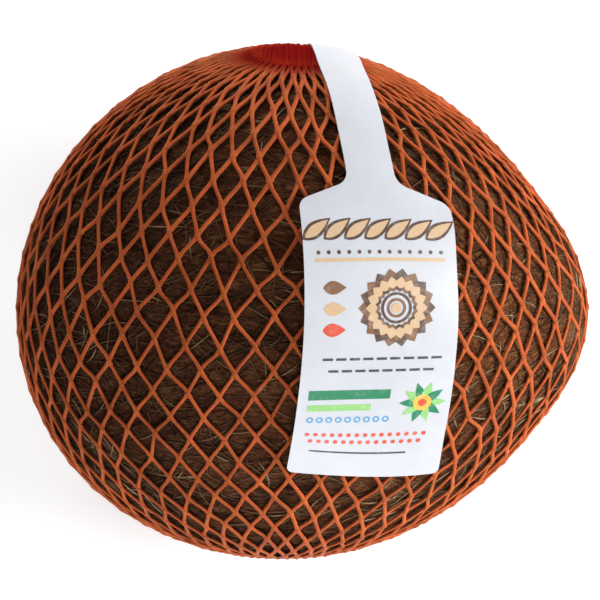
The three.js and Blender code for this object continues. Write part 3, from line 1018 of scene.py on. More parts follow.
@dataclass(frozen=True)
class Gather:
    """One gathered end of the net: a pad, a neck, a clip and a tail, along a line over the skin.

    Its line starts at the pad's middle, at a turn in degrees. It runs towards the back for a bend
    of 1, and towards the front for -1. Along it the neck rises first, and then the clip starts.
    """

    form: NutForm
    turn: float
    bend: int
    x: float
    clip_x: float
    rise_from: float
    clip_from: float
    neck_rise: float = 6.0
    pad_reach: float = 10.4
    pad_half_height: float = 0.5
    pad_gap: float = 0.4
    neck_half_width: float = 5.2
    neck_half_height: float = 1.15
    tail_length: float = 10.0
    tail_half_width: float = 8.0
    pleat_share: float = 0.1
    clip_length: float = 6.0
    clip_wall: float = 0.9
    clip_corner: float = 1.3
    clip_ramp: Span = (0.5, 6.0)
    settled_before: float = 3.0
    aligned_before: float = 2.0
    clearance: float = 0.3
    net_top: float = 1.5

    @property
    def clip_to(self) -> float:
        """Return where the clip ends along the gather."""
        return self.clip_from + self.clip_length

    @property
    def end(self) -> float:
        """Return where the tail ends along the gather."""
        return self.clip_to + self.tail_length

    @property
    def in_clip_lift(self) -> float:
        """Return the underside of the neck in the clip, from the skin."""
        return self.net_top + 2.0 * self.clearance + self.clip_wall

    @property
    def neck_top(self) -> float:
        """Return the top of the neck in the clip, from the skin."""
        return self.in_clip_lift + 2.0 * (1.0 + self.pleat_share) * self.neck_half_height

    @property
    def pole(self) -> Point:
        """Return the skin's point under the pad's middle, in metres in the row frame."""
        return tuple((self.point(0.0) + np.array(self.form.place)) * MM)

    def point(self, s: np.ndarray) -> np.ndarray:
        """Return the skin's points under the gather.

        Args:
            s: Lengths from the pad's middle.

        Returns:
            One point for each length.
        """
        s = np.asarray(s, float)
        aligned = smoothstep(s, 0.5 * self.clip_from, self.clip_from - self.aligned_before)
        x = lerp(self.x, self.clip_x, aligned)
        degrees = self.turn + self.bend * s / self.form.mm_per_degree
        return self.form.at(x, np.radians(degrees))

    def frame(self, s: np.ndarray) -> tuple[np.ndarray, np.ndarray, np.ndarray, np.ndarray]:
        """Return the gather's own axes.

        Args:
            s: Lengths from the pad's middle.

        Returns:
            The skin's points and the ways out, along and across.
        """
        step = 0.5
        point = self.point(s)
        out = self.form.normals(point)
        along = unit(self.point(np.asarray(s) + step) - self.point(np.asarray(s) - step))
        return point, out, along, unit(np.cross(along, out))

    def lift(self, s: np.ndarray) -> np.ndarray:
        """Return how far the gather's underside is from the skin.

        Args:
            s: Lengths from the pad's middle.

        Returns:
            Distances in millimetres.
        """
        risen = smoothstep(s, self.rise_from, self.rise_from + self.neck_rise)
        over_net = lerp(self.pad_gap, self.net_top + self.clearance, risen)
        close, away = self.clip_ramp
        near = smoothstep(s, self.clip_from - away, self.clip_from - close)
        past = smoothstep(s, self.clip_to + close, self.clip_to + away)
        return lerp(over_net, self.in_clip_lift, near - past)

    def size(self, s: np.ndarray) -> tuple[np.ndarray, np.ndarray]:
        """Return how wide and high the gather is.

        Args:
            s: Lengths from the pad's middle.

        Returns:
            Half widths and half heights.
        """
        s = np.asarray(s, float)
        settled = self.clip_from - self.settled_before
        rim = np.sqrt(np.maximum(0.0, 1.0 - (np.minimum(s, 0.0) / self.pad_reach) ** 2))
        neck = smoothstep(s, 0.0, settled)
        flare = smoothstep(s, self.clip_to, self.end)
        drawn_in = lerp(self.pad_reach, self.neck_half_width, neck)
        thick = smoothstep(s, self.rise_from, settled)
        high = lerp(self.pad_half_height, self.neck_half_height, thick) * lerp(0.5, 1.0, rim)
        return lerp(drawn_in, self.tail_half_width, flare) * rim, high

    def top(self, s: np.ndarray) -> np.ndarray:
        """Return how far the gather's upper side is from the skin."""
        return self.lift(s) + 2.0 * (1.0 + self.pleat_share) * self.size(s)[1]

    def place(self, s: np.ndarray, x: np.ndarray, y: np.ndarray) -> np.ndarray:
        """Return points of the gather, which bends down to both sides with the nut.

        Args:
            s: Lengths from the pad's middle.
            x: Places across the gather.
            y: Distances out from the skin.

        Returns:
            The points.
        """
        point, out, _, across = self.frame(s)
        drop = x**2 / (2.0 * self.form.radius)
        return point + across * np.asarray(x)[..., None] + out * np.asarray(y - drop)[..., None]


@dataclass
class CarryNet:
    """The stretched diamond net: its lattice of strands and its two gathered ends.

    Its strands are read from a fine grid of skin points, in half columns and rows of meshes. The
    axis goes through the two gathers, and the level and side ways are square to it. A strand is
    thinnest at its waist, swells at the bonds, and is slack towards the nut's ends and relaxed
    near the gathers. What starts with core or drape is for the gathered ends.
    """

    form: NutForm
    top: Gather
    bottom: Gather
    meshes: int = 52
    rows: int = 26
    slimness: float = 0.53
    gather_radius: float = 10.4
    strand_radius: float = 0.46
    strand_sides: int = 6
    strand_flat: float = 0.62
    slack_share: float = 0.28
    slack_span: Span = (25.0, 62.0)
    relaxed_share: float = 0.24
    relaxed_span: Span = (0.05, 0.42)
    lift: float = 0.8
    crossing_lift: float = 0.09
    jitter: float = 0.09
    mesh_steps: tuple[float, ...] = (0.26, 0.5, 0.74)
    mesh_rounding: float = 0.15
    waist: float = 0.92
    bond_swell: float = 0.42
    bond_share: float = 0.03
    bond_sharpness: int = 5
    core_sides: int = 64
    core_pleats: int = 16
    core_ripple: float = 0.05
    core_pleated: Span = (-4.0, 12.0)
    core_width: float = 0.9
    core_height: float = 0.82
    drape_stations: int = 34
    drape_pair: float = 0.16
    drape_front: float = 2.0
    drape_ends: Span = (-1.3, 0.6)
    drape_settled: float = 11.0
    drape_width: float = 0.97
    drape_widest: float = 0.98
    drape_spread: float = 0.05
    drape_height: float = 0.62
    drape_rise: float = 4.0
    drape_unevenness: float = 0.08
    drape_back_share: float = 0.9
    # Painted shade: the gathers' colours are darker than the lattice's, partly the packed plastic's
    # deeper tone and partly painted shade between the packed strands.
    bundle_tone_and_shade: Colour = (0.27, 0.018, 0.008)
    bundle_deep_tone_and_shade: Colour = (0.18, 0.006, 0.005)
    seed: int = 5
    fineness: int = 4
    axis: np.ndarray = field(init=False)
    level: np.ndarray = field(init=False)
    side: np.ndarray = field(init=False)
    middle: np.ndarray = field(init=False)
    surface: np.ndarray = field(init=False)
    fine_columns: int = field(init=False)
    fine_rows: int = field(init=False)

    def __post_init__(self) -> None:
        """Work out the net's axes and the grid of skin points that its strands are read from."""
        top, bottom = self.top.point(0.0), self.bottom.point(0.0)
        self.axis = unit(top - bottom)
        self.middle = 0.5 * (top + bottom)
        level = np.array([1.0, 0.0, 0.0])
        self.level = unit(level - self.axis * self.axis[0])
        self.side = np.cross(self.axis, self.level)
        self.fine_columns = self.fineness * self.meshes
        self.fine_rows = self.fineness * self.rows
        self.surface = self._meridians(self._angles(), self._shares())

    def _outwards(self, angles: np.ndarray) -> np.ndarray:
        """Return the ways outwards from the net's axis, at angles about it."""
        return np.cos(angles)[..., None] * self.level + np.sin(angles)[..., None] * self.side

    def _angles(self) -> np.ndarray:
        """Space the fine columns evenly on the girth.

        Returns:
            One angle about the net's axis for each.
        """
        readings = 721
        angles = np.linspace(0.0, FULL_TURN, readings)
        lengths = lengths_along(self.form.on_ray(self.middle, self._outwards(angles)))
        wanted = np.arange(self.fine_columns) * lengths[-1] / self.fine_columns
        return np.interp(wanted, lengths, angles)

    def _shares(self) -> np.ndarray:
        """Space the fine rows, closer together where the meshes are stretched wide.

        Returns:
            Shares of the way from the first row to the last.
        """
        slim = self.slimness * np.sin(np.pi * (np.arange(self.rows) + 0.5) / self.rows)
        shares = np.concatenate([[0.0], np.cumsum(np.sqrt(1.0 - slim**2))])
        wanted = np.arange(self.fine_rows + 1) * self.rows / self.fine_rows
        return np.interp(wanted, np.arange(self.rows + 1), shares / shares[-1])

    def _meridians(self, angles: np.ndarray, shares: np.ndarray) -> np.ndarray:
        """Read skin points on lines from one gather to the other.

        Args:
            angles: The lines' angles about the net's axis.
            shares: How far along each line they are.

        Returns:
            Points shaped (angles, shares, 3).
        """
        readings = 241
        tilt = np.linspace(0.0, np.pi, readings)
        ways = (
            np.cos(tilt)[None, :, None] * self.axis
            + np.sin(tilt)[None, :, None] * self._outwards(angles)[:, None, :]
        )
        columns = []
        for line in self.form.on_ray(self.middle, ways):
            lengths = lengths_along(line)
            wanted = lerp(self.gather_radius, lengths[-1] - self.gather_radius, shares)
            columns.append(read_at(wanted, lengths, line))
        return np.stack(columns)

    def at(self, column: np.ndarray, row: np.ndarray) -> np.ndarray:
        """Return skin points under the net.

        Args:
            column: Half columns, which may be fractions.
            row: Rows, which may be fractions.

        Returns:
            The points.
        """
        u = np.mod(column * self.fine_columns / (2.0 * self.meshes), self.fine_columns)
        v = np.clip(row * self.fine_rows / self.rows, 0.0, self.fine_rows)
        i = np.floor(u).astype(int) % self.fine_columns
        j = np.minimum(np.floor(v).astype(int), self.fine_rows - 1)
        k = (i + 1) % self.fine_columns
        s, t = (u - np.floor(u))[..., None], (v - j)[..., None]
        low = lerp(self.surface[i, j], self.surface[k, j], s)
        high = lerp(self.surface[i, j + 1], self.surface[k, j + 1], s)
        return lerp(low, high, t)

    def build(self) -> list[bpy.types.Object]:
        """Make the net's pieces.

        Returns:
            The lattice and the two gathers.
        """
        ends = (("net_gather_top", self.top), ("net_gather_bottom", self.bottom))
        return [self._lattice(), *(self._bundle(name, gather) for name, gather in ends)]

    def _shift(self, columns: np.ndarray, rows: np.ndarray) -> tuple[np.ndarray, np.ndarray]:
        """Work out how unevenly the net is stretched, which dies out at its ends.

        Args:
            columns: Half columns.
            rows: Rows.

        Returns:
            Shifts across, in half columns, and down, in rows.
        """
        angle = np.pi * columns / self.meshes
        fade = np.sin(np.pi * np.clip(rows / self.rows, 0.0, 1.0)) ** 0.5
        across = 0.15 * np.sin(3.0 * angle + 0.21 * rows)
        across = across + 0.12 * np.sin(7.0 * angle - 0.37 * rows + 1.0)
        down = 0.22 * np.sin(4.0 * angle + 0.17 * rows + 2.0)
        down = down + 0.12 * np.sin(9.0 * angle + 0.3 * rows)
        return across * fade, down * fade

    def _lattice(self) -> bpy.types.Object:
        """Make the strands between the two gathers, and their bonded crossings.

        Returns:
            The piece.
        """
        rng = np.random.default_rng(self.seed)
        double = 2 * self.meshes
        jitter = rng.normal(0.0, self.jitter, (double, self.rows + 1, 2))
        jitter[:, [0, -1]] = 0.0
        steps = np.array([0.0, self.bond_share, *self.mesh_steps, 1.0 - self.bond_share])
        t = np.append((np.arange(self.rows)[:, None] + steps[None]).ravel(), self.rows)
        row = np.minimum(np.floor(t + 1e-9).astype(int), self.rows - 1)
        part = t - row
        ease = part * part * (3.0 - 2.0 * part)
        apart = np.clip((part - 0.5) / (0.5 - self.bond_share), -1.0, 1.0)
        gone = 0.5 + 0.5 * lerp(apart, np.sin(0.5 * np.pi * apart), self.mesh_rounding)
        bond = (0.5 + 0.5 * np.cos(FULL_TURN * part)) ** self.bond_sharpness
        to_end = np.minimum(t, self.rows - t) / self.rows
        relaxed = 1.0 + self.relaxed_share * (1.0 - smoothstep(to_end, *self.relaxed_span))
        widths = (relaxed * (self.waist + self.bond_swell * bond))[None]
        start = 2 * np.arange(self.meshes)[:, None]
        draft = MeshDraft(self.form)
        for lean in (1, -1):
            column = start + lean * (row + gone)[None]
            here = (start + lean * row[None]) % double
            there = (start + lean * (row[None] + 1)) % double
            near, far = jitter[here, row[None]], jitter[there, row[None] + 1]
            wobble = lerp(near, far, ease[None, :, None])
            rows = np.broadcast_to(t[None], column.shape)
            across, down = self._shift(column, rows)
            skin = self.at(column + across + wobble[..., 0], rows + down + wobble[..., 1])
            lift = self.lift + lean * self.crossing_lift * bond[None]
            lines = self.form.lifted(skin, np.broadcast_to(lift, column.shape))
            slack = 1.0 + self.slack_share * smoothstep(np.abs(skin[..., 0]), *self.slack_span)
            draft.tubes(lines, self.strand_radius * widths * slack, self.strand_sides,
                        self.form.normals(skin), self.strand_flat)
        finish = NetFinish("net_plastic", (self.top.pole, self.bottom.pole))
        return draft.build("net_lattice", finish)

    def _core(self, gather: Gather) -> np.ndarray:
        """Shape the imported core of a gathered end.

        Args:
            gather: The gather.

        Returns:
            Its rings, shaped (rings, sides, 3).
        """
        pad_rings, neck_rings, inset = 14, 44, 0.8
        pad = -gather.pad_reach * np.cos(np.linspace(0.04, 0.5 * np.pi, pad_rings))
        s = np.concatenate([pad, np.linspace(inset, gather.end - inset, neck_rings)])
        angle = FULL_TURN * np.arange(self.core_sides) / self.core_sides
        wide, high = gather.size(s)
        pleated = smoothstep(s, *self.core_pleated)[:, None]
        ripple = 1.0 + self.core_ripple * np.cos(self.core_pleats * angle)[None] * pleated
        x = self.core_width * wide[:, None] * np.cos(angle)[None] * ripple
        rise = 1.0 + self.core_height * np.sin(angle)[None] * ripple
        y = gather.lift(s)[:, None] + high[:, None] * rise
        return gather.place(np.broadcast_to(s[:, None], x.shape), x, y)

    def _drape(self, gather: Gather, rng: np.random.Generator) -> tuple[np.ndarray, np.ndarray]:
        """Lead the net's last strands over and under the core.

        Args:
            gather: The gather.
            rng: The random draws.

        Returns:
            Their centre lines, shaped (strands, stations, 3), and radii.
        """
        strands = 2 * self.meshes
        row = 0 if gather is self.top else self.rows
        pair = np.tile([-self.drape_pair, self.drape_pair], self.meshes)
        columns = np.repeat(np.arange(0, strands, 2), 2) + pair
        rims = self.at(columns + row % 2, np.full(columns.shape, float(row)))
        point, _, along, across = gather.frame(np.array(0.0))
        s0, x0 = (rims - point) @ along, (rims - point) @ across
        front = s0 < self.drape_front
        order = np.clip(x0 / gather.pad_reach, -1.0, 1.0)
        over = np.where(front, 1.0, -1.0)
        share = np.linspace(0.0, 1.0, self.drape_stations)
        ends = gather.end + rng.uniform(*self.drape_ends, strands)
        s = s0[:, None] + (ends - s0)[:, None] * share[None]
        wide, high = gather.size(s)
        settle = smoothstep(s, np.minimum(s0, 0.0)[:, None], self.drape_settled)
        spread = self.drape_width * order + rng.normal(0.0, self.drape_spread, strands)
        spread = np.clip(spread, -self.drape_widest, self.drape_widest)
        x = lerp(x0[:, None] * np.ones_like(s), spread[:, None] * wide, settle)
        aside = np.clip(x / np.maximum(wide, 0.1), -1.0, 1.0)
        level = np.sqrt(np.maximum(0.0, 1.0 - aside**2))
        y = gather.lift(s) + high * (1.0 + self.drape_height * over[:, None] * level)
        risen = smoothstep(s, s0[:, None], s0[:, None] + self.drape_rise)
        y = lerp(self.lift * np.ones_like(s), y, risen)
        y += rng.normal(0.0, self.drape_unevenness, strands)[:, None]
        width = np.where(front, 1.0, self.drape_back_share)[:, None]
        radii = self.strand_radius * width * np.ones_like(s)
        return gather.place(s, x, y), radii

    def _bundle(self, name: str, gather: Gather) -> bpy.types.Object:
        """Make one gathered end: a packed core with the strands that run over it.

        Args:
            name: The piece's name.
            gather: Where it lies.

        Returns:
            The new piece.
        """
        rng = np.random.default_rng(self.seed + (1 if gather.bend > 0 else 2))
        draft = MeshDraft(self.form)
        draft.loft(self._core(gather))
        lines, radii = self._drape(gather, rng)
        draft.tubes(lines, radii, self.strand_sides, self.form.normals(lines), self.strand_flat)
        return draft.build(name, NetFinish(
            name + "_plastic", (gather.pole,), self.bundle_tone_and_shade, self.bundle_deep_tone_and_shade,
            gloss=0.0, glow=0.0, near=0.0055, far=0.0112,
        ))


# ---- clips ----


@dataclass(frozen=True)
class Clip:
    """A crimped metal band round a gather's neck, closed by a seam on its upper side.

    Dents lie at shares of the band's length, and their widths are such shares too. Extra is how
    much higher the band is than the neck needs.
    """

    gather: Gather
    name: str
    extra: float = 0.0
    stations: int = 150
    corner_steps: int = 9
    seam_gap: float = 0.25
    edge: float = 0.3
    edge_steps: int = 5
    dent: float = 0.16
    seam_dents: tuple[float, ...] = (0.04, 0.09, 0.91, 0.96)
    seam_dent_width: float = 0.012
    under_dents: tuple[float, ...] = (0.42, 0.5, 0.58)
    under_dent_width: float = 0.02
    under_dent_share: float = 0.8
    dent_squeeze: float = 0.04
    end_thickness: float = 0.55
    end_taper: float = 0.012

    def _path(self) -> tuple[np.ndarray, np.ndarray]:
        """Trace the band round the neck, in the clip's plane.

        Returns:
            Its middle line's points and its ways outwards.
        """
        gather = self.gather
        wall, clear = gather.clip_wall, gather.clearance
        half = gather.neck_half_width * (1.0 + gather.pleat_share) + clear + 0.5 * wall
        low = gather.net_top + clear + 0.5 * wall
        high = gather.neck_top + self.extra + clear + 0.5 * wall
        corner = gather.clip_corner - 0.5 * wall
        corners = ((half, high, 0.0), (half, low, -0.5), (-half, low, -1.0), (-half, high, -1.5))
        line, ways = [(self.seam_gap, high)], [(0.0, 1.0)]
        for x, y, turn in corners:
            centre = (x - math.copysign(corner, x), y + (corner if y == low else -corner))
            for share in np.linspace(0.0, 1.0, self.corner_steps):
                angle = math.pi * (0.5 + turn - 0.5 * share)
                way = (math.cos(angle), math.sin(angle))
                line.append((centre[0] + corner * way[0], centre[1] + corner * way[1]))
                ways.append(way)
        line, ways = np.array([*line, (-self.seam_gap, high)]), np.array([*ways, (0.0, 1.0)])
        lengths = lengths_along(line)
        wanted = np.linspace(0.0, lengths[-1], self.stations)
        return read_at(wanted, lengths, line), unit(read_at(wanted, lengths, ways))

    def _section(self, half_wall: float, half_length: float) -> np.ndarray:
        """Outline the band's wall, with rounded edges.

        Args:
            half_wall: Half its thickness.
            half_length: Half the clip's length along the neck.

        Returns:
            Points of (out from the middle line, along the neck).
        """
        section = []
        for side, end, quarter in ((1, 1, 0.0), (-1, 1, 1.0), (-1, -1, 2.0), (1, -1, 3.0)):
            for angle in np.linspace(0.0, 0.5 * np.pi, self.edge_steps):
                turn = quarter * 0.5 * np.pi + angle
                section.append((
                    side * (half_wall - self.edge) + self.edge * math.cos(turn),
                    end * (half_length - self.edge) + self.edge * math.sin(turn),
                ))
        return np.array(section)

    @staticmethod
    def _dents(place: np.ndarray, centres: tuple[float, ...], width: float) -> np.ndarray:
        """Return how deep the dents at some centres are, along the band."""
        return sum(np.exp(-(((place - centre) / width) ** 2)) for centre in centres)

    def build(self) -> list[bpy.types.Object]:
        """Make the band.

        Returns:
            The one piece.
        """
        line, ways = self._path()
        half_wall, half_length = 0.5 * self.gather.clip_wall, 0.5 * self.gather.clip_length
        section = self._section(half_wall, half_length)
        out_from_line, along_neck = section[None, :, 0], section[None, :, 1]
        place = np.arange(len(line)) / (len(line) - 1)
        dents = self._dents(place, self.seam_dents, self.seam_dent_width)
        under = self._dents(place, self.under_dents, self.under_dent_width)
        dents = (dents + self.under_dent_share * under)[:, None]
        taper = np.minimum(1.0, np.minimum(place, 1.0 - place) / self.end_taper)
        rounding = np.sqrt(1.0 - (1.0 - taper) ** 2)
        shrink = self.end_thickness + (1.0 - self.end_thickness) * rounding
        inwards = self.dent * dents * np.cos(0.45 * np.pi * along_neck / half_length)
        pressed = np.maximum(inwards, 0.0) * (out_from_line > 0)
        reach = out_from_line * shrink[:, None] - pressed
        flat = line[:, None, :] + ways[:, None, :] * reach[..., None]
        along_band = along_neck * (1.0 - self.dent_squeeze * dents)
        point, out, along, across = self.gather.frame(self.gather.clip_from + half_length)
        rings = (
            point + across * flat[..., :1] + out * flat[..., 1:] + along * along_band[..., None]
        )
        draft = MeshDraft(self.gather.form)
        draft.loft(rings)
        return [draft.build(self.name + "_band", MetalFinish())]


# ---- tag ----


def rim(sheet: np.ndarray) -> np.ndarray:
    """Return the outermost points of a grid, in one round."""
    return np.concatenate([sheet[0], sheet[1:, -1], sheet[-1, -2::-1], sheet[-2:0:-1, 0]])


@dataclass
class HangTag:
    """The film tag: a strap that comes out of the upper clip and a panel with a printed pattern.

    Its middle line is furthest towards the point at one turn, and falls back on both sides of it
    by the slope, in millimetres per degree, with a rounded bend. Turns, the bend, the far span,
    the shoulder's slope, zones and curls are in degrees, and so is where the strap begins to be
    drawn aside and narrow before the clip. Sizes, lifts and the other spans are in millimetres.
    """

    form: NutForm
    gather: Gather
    furthest: float = 20.0
    furthest_turn: float = -12.7
    slope: float = 0.2
    bend: float = 29.4
    far_shift: float = 3.4
    far_span: Span = (42.0, 82.0)
    thickness: float = 0.28
    strap_width: float = 10.5
    strap_end_width: float = 8.4
    strap_end: float = 5.0
    panel_width: float = 32.6
    shoulder_turn: float = 13.0
    shoulder_slope: float = 71.0
    fillet: float = 3.4
    corner: float = 2.8
    foot_turn: float = -51.1
    foot_slant: float = 1.4
    foot_bow: float = 0.9
    foot_corner: float = 1.3
    edge_lift: float = 1.5
    foot_lift: float = 1.6
    press_gap: float = 0.06
    press_on: Span = (-4.0, 8.0)
    press_off: Span = (28.0, 38.0)
    net_top: float = 1.35
    aside_from: float = 14.0
    narrow_from: float = 12.0
    drawn_by: float = 1.0
    climb_from: float = 7.0
    climb_by: float = 1.0
    edge_zone: float = 13.0
    foot_zone: float = 20.0
    curl_from: float = 22.0
    curl_past: float = 6.0
    share_limit: float = 1.2
    loose_span: Span = (-50.0, -10.0)
    loose_lift: float = 0.22
    crease_height: float = 0.12
    crease_place: float = 34.0
    crease_slant: float = 0.6
    crease_width: float = 1.6
    columns: int = 41
    step: float = 0.75
    shoulder_rows: int = 44
    shoulder_length: float = 9.0
    foot_rows: int = 9

    @property
    def clip_turn(self) -> float:
        """Return the turn at which the strap goes into the clip."""
        return self.gather.turn + self.gather.clip_from / self.form.mm_per_degree

    @property
    def strap_length(self) -> float:
        """Return the strap's length from its hidden end to the shoulders."""
        past = self.gather.clip_length + self.strap_end
        return (self.clip_turn - self.shoulder_turn) * self.form.mm_per_degree + past

    @property
    def panel_length(self) -> float:
        """Return the length from where the shoulders begin to the foot."""
        return (self.shoulder_turn - self.foot_turn) * self.form.mm_per_degree

    def turn_at(self, v: np.ndarray) -> np.ndarray:
        """Return the turns at v mm below the start of the shoulders."""
        return self.shoulder_turn - v / self.form.mm_per_degree

    def _before_clip(self, turn: np.ndarray, start: float) -> np.ndarray:
        """Return a 0 to 1 step that starts some degrees before the clip and ends just before it."""
        return smoothstep(turn, self.clip_turn - start, self.clip_turn - self.drawn_by)

    def _centre(self, turn: np.ndarray) -> np.ndarray:
        """Return the middle line's points on the skin.

        Args:
            turn: Turns in degrees.

        Returns:
            The points.
        """
        back = np.hypot(turn - self.furthest_turn, self.bend) - self.bend
        free = self.furthest - self.slope * back
        free = free + self.far_shift * smoothstep(turn, *self.far_span)
        drawn = self._before_clip(turn, self.aside_from)
        return self.form.at(lerp(free, self.gather.clip_x, drawn), np.radians(turn))

    def half_width(self, v: np.ndarray) -> np.ndarray:
        """Return half the tag's width: the strap, a fillet, the slanted shoulder and a corner.

        Args:
            v: Places along it, down from the start of the shoulders.

        Returns:
            Half widths in millimetres.
        """
        v = np.asarray(v, float)
        drawn = self._before_clip(self.turn_at(v), self.narrow_from)
        strap = 0.5 * lerp(self.strap_width, self.strap_end_width, drawn)
        slope = math.radians(self.shoulder_slope)
        fillet, corner, foot = self.fillet, self.corner, self.foot_corner
        full, narrow = 0.5 * self.panel_width, 0.5 * self.strap_width
        rise = full - narrow - (fillet + corner) * (1.0 - math.cos(slope))
        fillet_end = fillet * math.sin(slope)
        corner_start = fillet_end + rise / math.tan(slope)
        corner_end = corner_start + corner * math.sin(slope)
        in_fillet = np.clip(v, 0.0, fillet_end)
        in_corner = np.clip(corner_end - v, 0.0, corner)
        in_foot = np.clip(v - (self.panel_length - foot), 0.0, foot)
        hollow = strap + fillet - np.sqrt(np.maximum(fillet**2 - in_fillet**2, 0.0))
        line = narrow + fillet * (1.0 - math.cos(slope)) + (v - fillet_end) * math.tan(slope)
        bulge = full - corner + np.sqrt(np.maximum(corner**2 - in_corner**2, 0.0))
        width = np.where(v < fillet_end, hollow, np.where(v < corner_start, line, bulge))
        width = np.where(v < 0.0, strap, width)
        return width - foot + np.sqrt(np.maximum(foot**2 - in_foot**2, 0.0))

    def at(self, u: np.ndarray, v: np.ndarray, height: Values = 0.0) -> np.ndarray:
        """Return points of the tag.

        Args:
            u: Places across it in millimetres, towards the nut's pointed end.
            v: Places along it, down from the start of the shoulders.
            height: Distances above its underside.

        Returns:
            The points, in the nut's frame.
        """
        u, v = np.broadcast_arrays(np.asarray(u, float), np.asarray(v, float))
        turn = self.turn_at(v)
        centre = self._centre(turn)
        half_step = 0.5
        along = unit(self._centre(turn + half_step) - self._centre(turn - half_step))
        across = unit(np.cross(along, self.form.normals(centre)))
        near_foot = smoothstep(-turn, -self.foot_turn - self.foot_zone, -self.foot_turn)
        share = np.clip(u / (0.5 * self.panel_width), -self.share_limit, self.share_limit)
        shift = near_foot * (self.foot_bow * share**2 - self.foot_slant * share)
        place = centre + across * u[..., None] + along * shift[..., None]
        angle = np.arctan2(place[..., 1], place[..., 2])
        under = self.form.at(place[..., 0], angle)
        lift = self._lift(turn, share) + self._wave(u, v)
        return under + self.form.normals(under) * (lift + height)[..., None]

    def _lift(self, turn: np.ndarray, share: np.ndarray) -> np.ndarray:
        """Return how far the underside is from the skin: over the net, then over the gather.

        Args:
            turn: Turns in degrees.
            share: Places across the tag, from -1 to 1 at the panel's edges.

        Returns:
            Distances in millimetres.
        """
        s = (turn - self.gather.turn) * self.form.mm_per_degree
        reach = self.gather.pad_reach
        over = smoothstep(s, -reach - self.climb_from, -reach + self.climb_by)
        under = lerp(self.net_top, np.maximum(self.net_top, self.gather.top(s)), over)
        panel = 1.0 - smoothstep(turn, self.shoulder_turn - self.edge_zone, self.shoulder_turn)
        foot = -self.foot_turn
        near_foot = smoothstep(-turn, foot - self.curl_from, foot + self.curl_past)
        pressed = smoothstep(s, *self.press_on) * (1.0 - smoothstep(s, *self.press_off))
        clear = lerp(self.gather.clearance, self.press_gap, pressed)
        return under + clear + self.foot_lift * near_foot + self.edge_lift * panel * share**2

    def _wave(self, u: np.ndarray, v: np.ndarray) -> np.ndarray:
        """Return the film's slight waves and its one crease, which fade out towards the clip.

        Args:
            u: Places across the tag.
            v: Places along it.

        Returns:
            Heights in millimetres.
        """
        loose = smoothstep(v, *self.loose_span)
        wave = 0.16 * np.sin(0.17 * v + 0.05 * u) + 0.10 * np.sin(0.31 * v - 0.16 * u + 1.0)
        from_crease = (v - self.crease_slant * u - self.crease_place) / self.crease_width
        crease = self.crease_height * np.exp(-(from_crease**2))
        return (self.loose_lift + wave + crease) * loose

    def build(self) -> list[bpy.types.Object]:
        """Make the film and its print."""
        return [self._film(), *TagPrint(self).build()]

    def _rows(self) -> np.ndarray:
        """Place the film's rows, closer together where its outline turns.

        Returns:
            Places along the tag.
        """
        straight_end = self.panel_length - self.foot_corner
        ends = np.array([-self.strap_length, 0.0, self.shoulder_length, straight_end])
        panel_rows = int((straight_end - self.shoulder_length) / self.step)
        counts = (int(self.strap_length / self.step), self.shoulder_rows, panel_rows)
        rows = [np.linspace(a, b, n, endpoint=False) for a, b, n in zip(ends, ends[1:], counts)]
        rounding = 1.0 - np.sin(np.linspace(0.0, 0.5 * np.pi, self.foot_rows))
        return np.concatenate([*rows, self.panel_length - self.foot_corner * rounding])

    def _film(self) -> bpy.types.Object:
        """Make the film: its two faces and the edge between them.

        Returns:
            The piece.
        """
        v = self._rows()[:, None]
        share = np.sin(0.5 * np.pi * np.linspace(-1.0, 1.0, self.columns))[None]
        u = share * self.half_width(v)
        above, below = self.at(u, v, self.thickness), self.at(u, v)
        across, down = 0.5 + u / self.panel_width, v / self.panel_length
        uv = np.stack(np.broadcast_arrays(across, down), axis=-1)
        draft = MeshDraft(self.form)
        draft.grid(above, uv=uv, flip=True)
        draft.grid(below, uv=uv)
        draft.grid(np.stack([rim(above), rim(below)]), wrap=True, uv=np.stack([rim(uv), rim(uv)]))
        return draft.build("tag_sheet", FilmFinish())


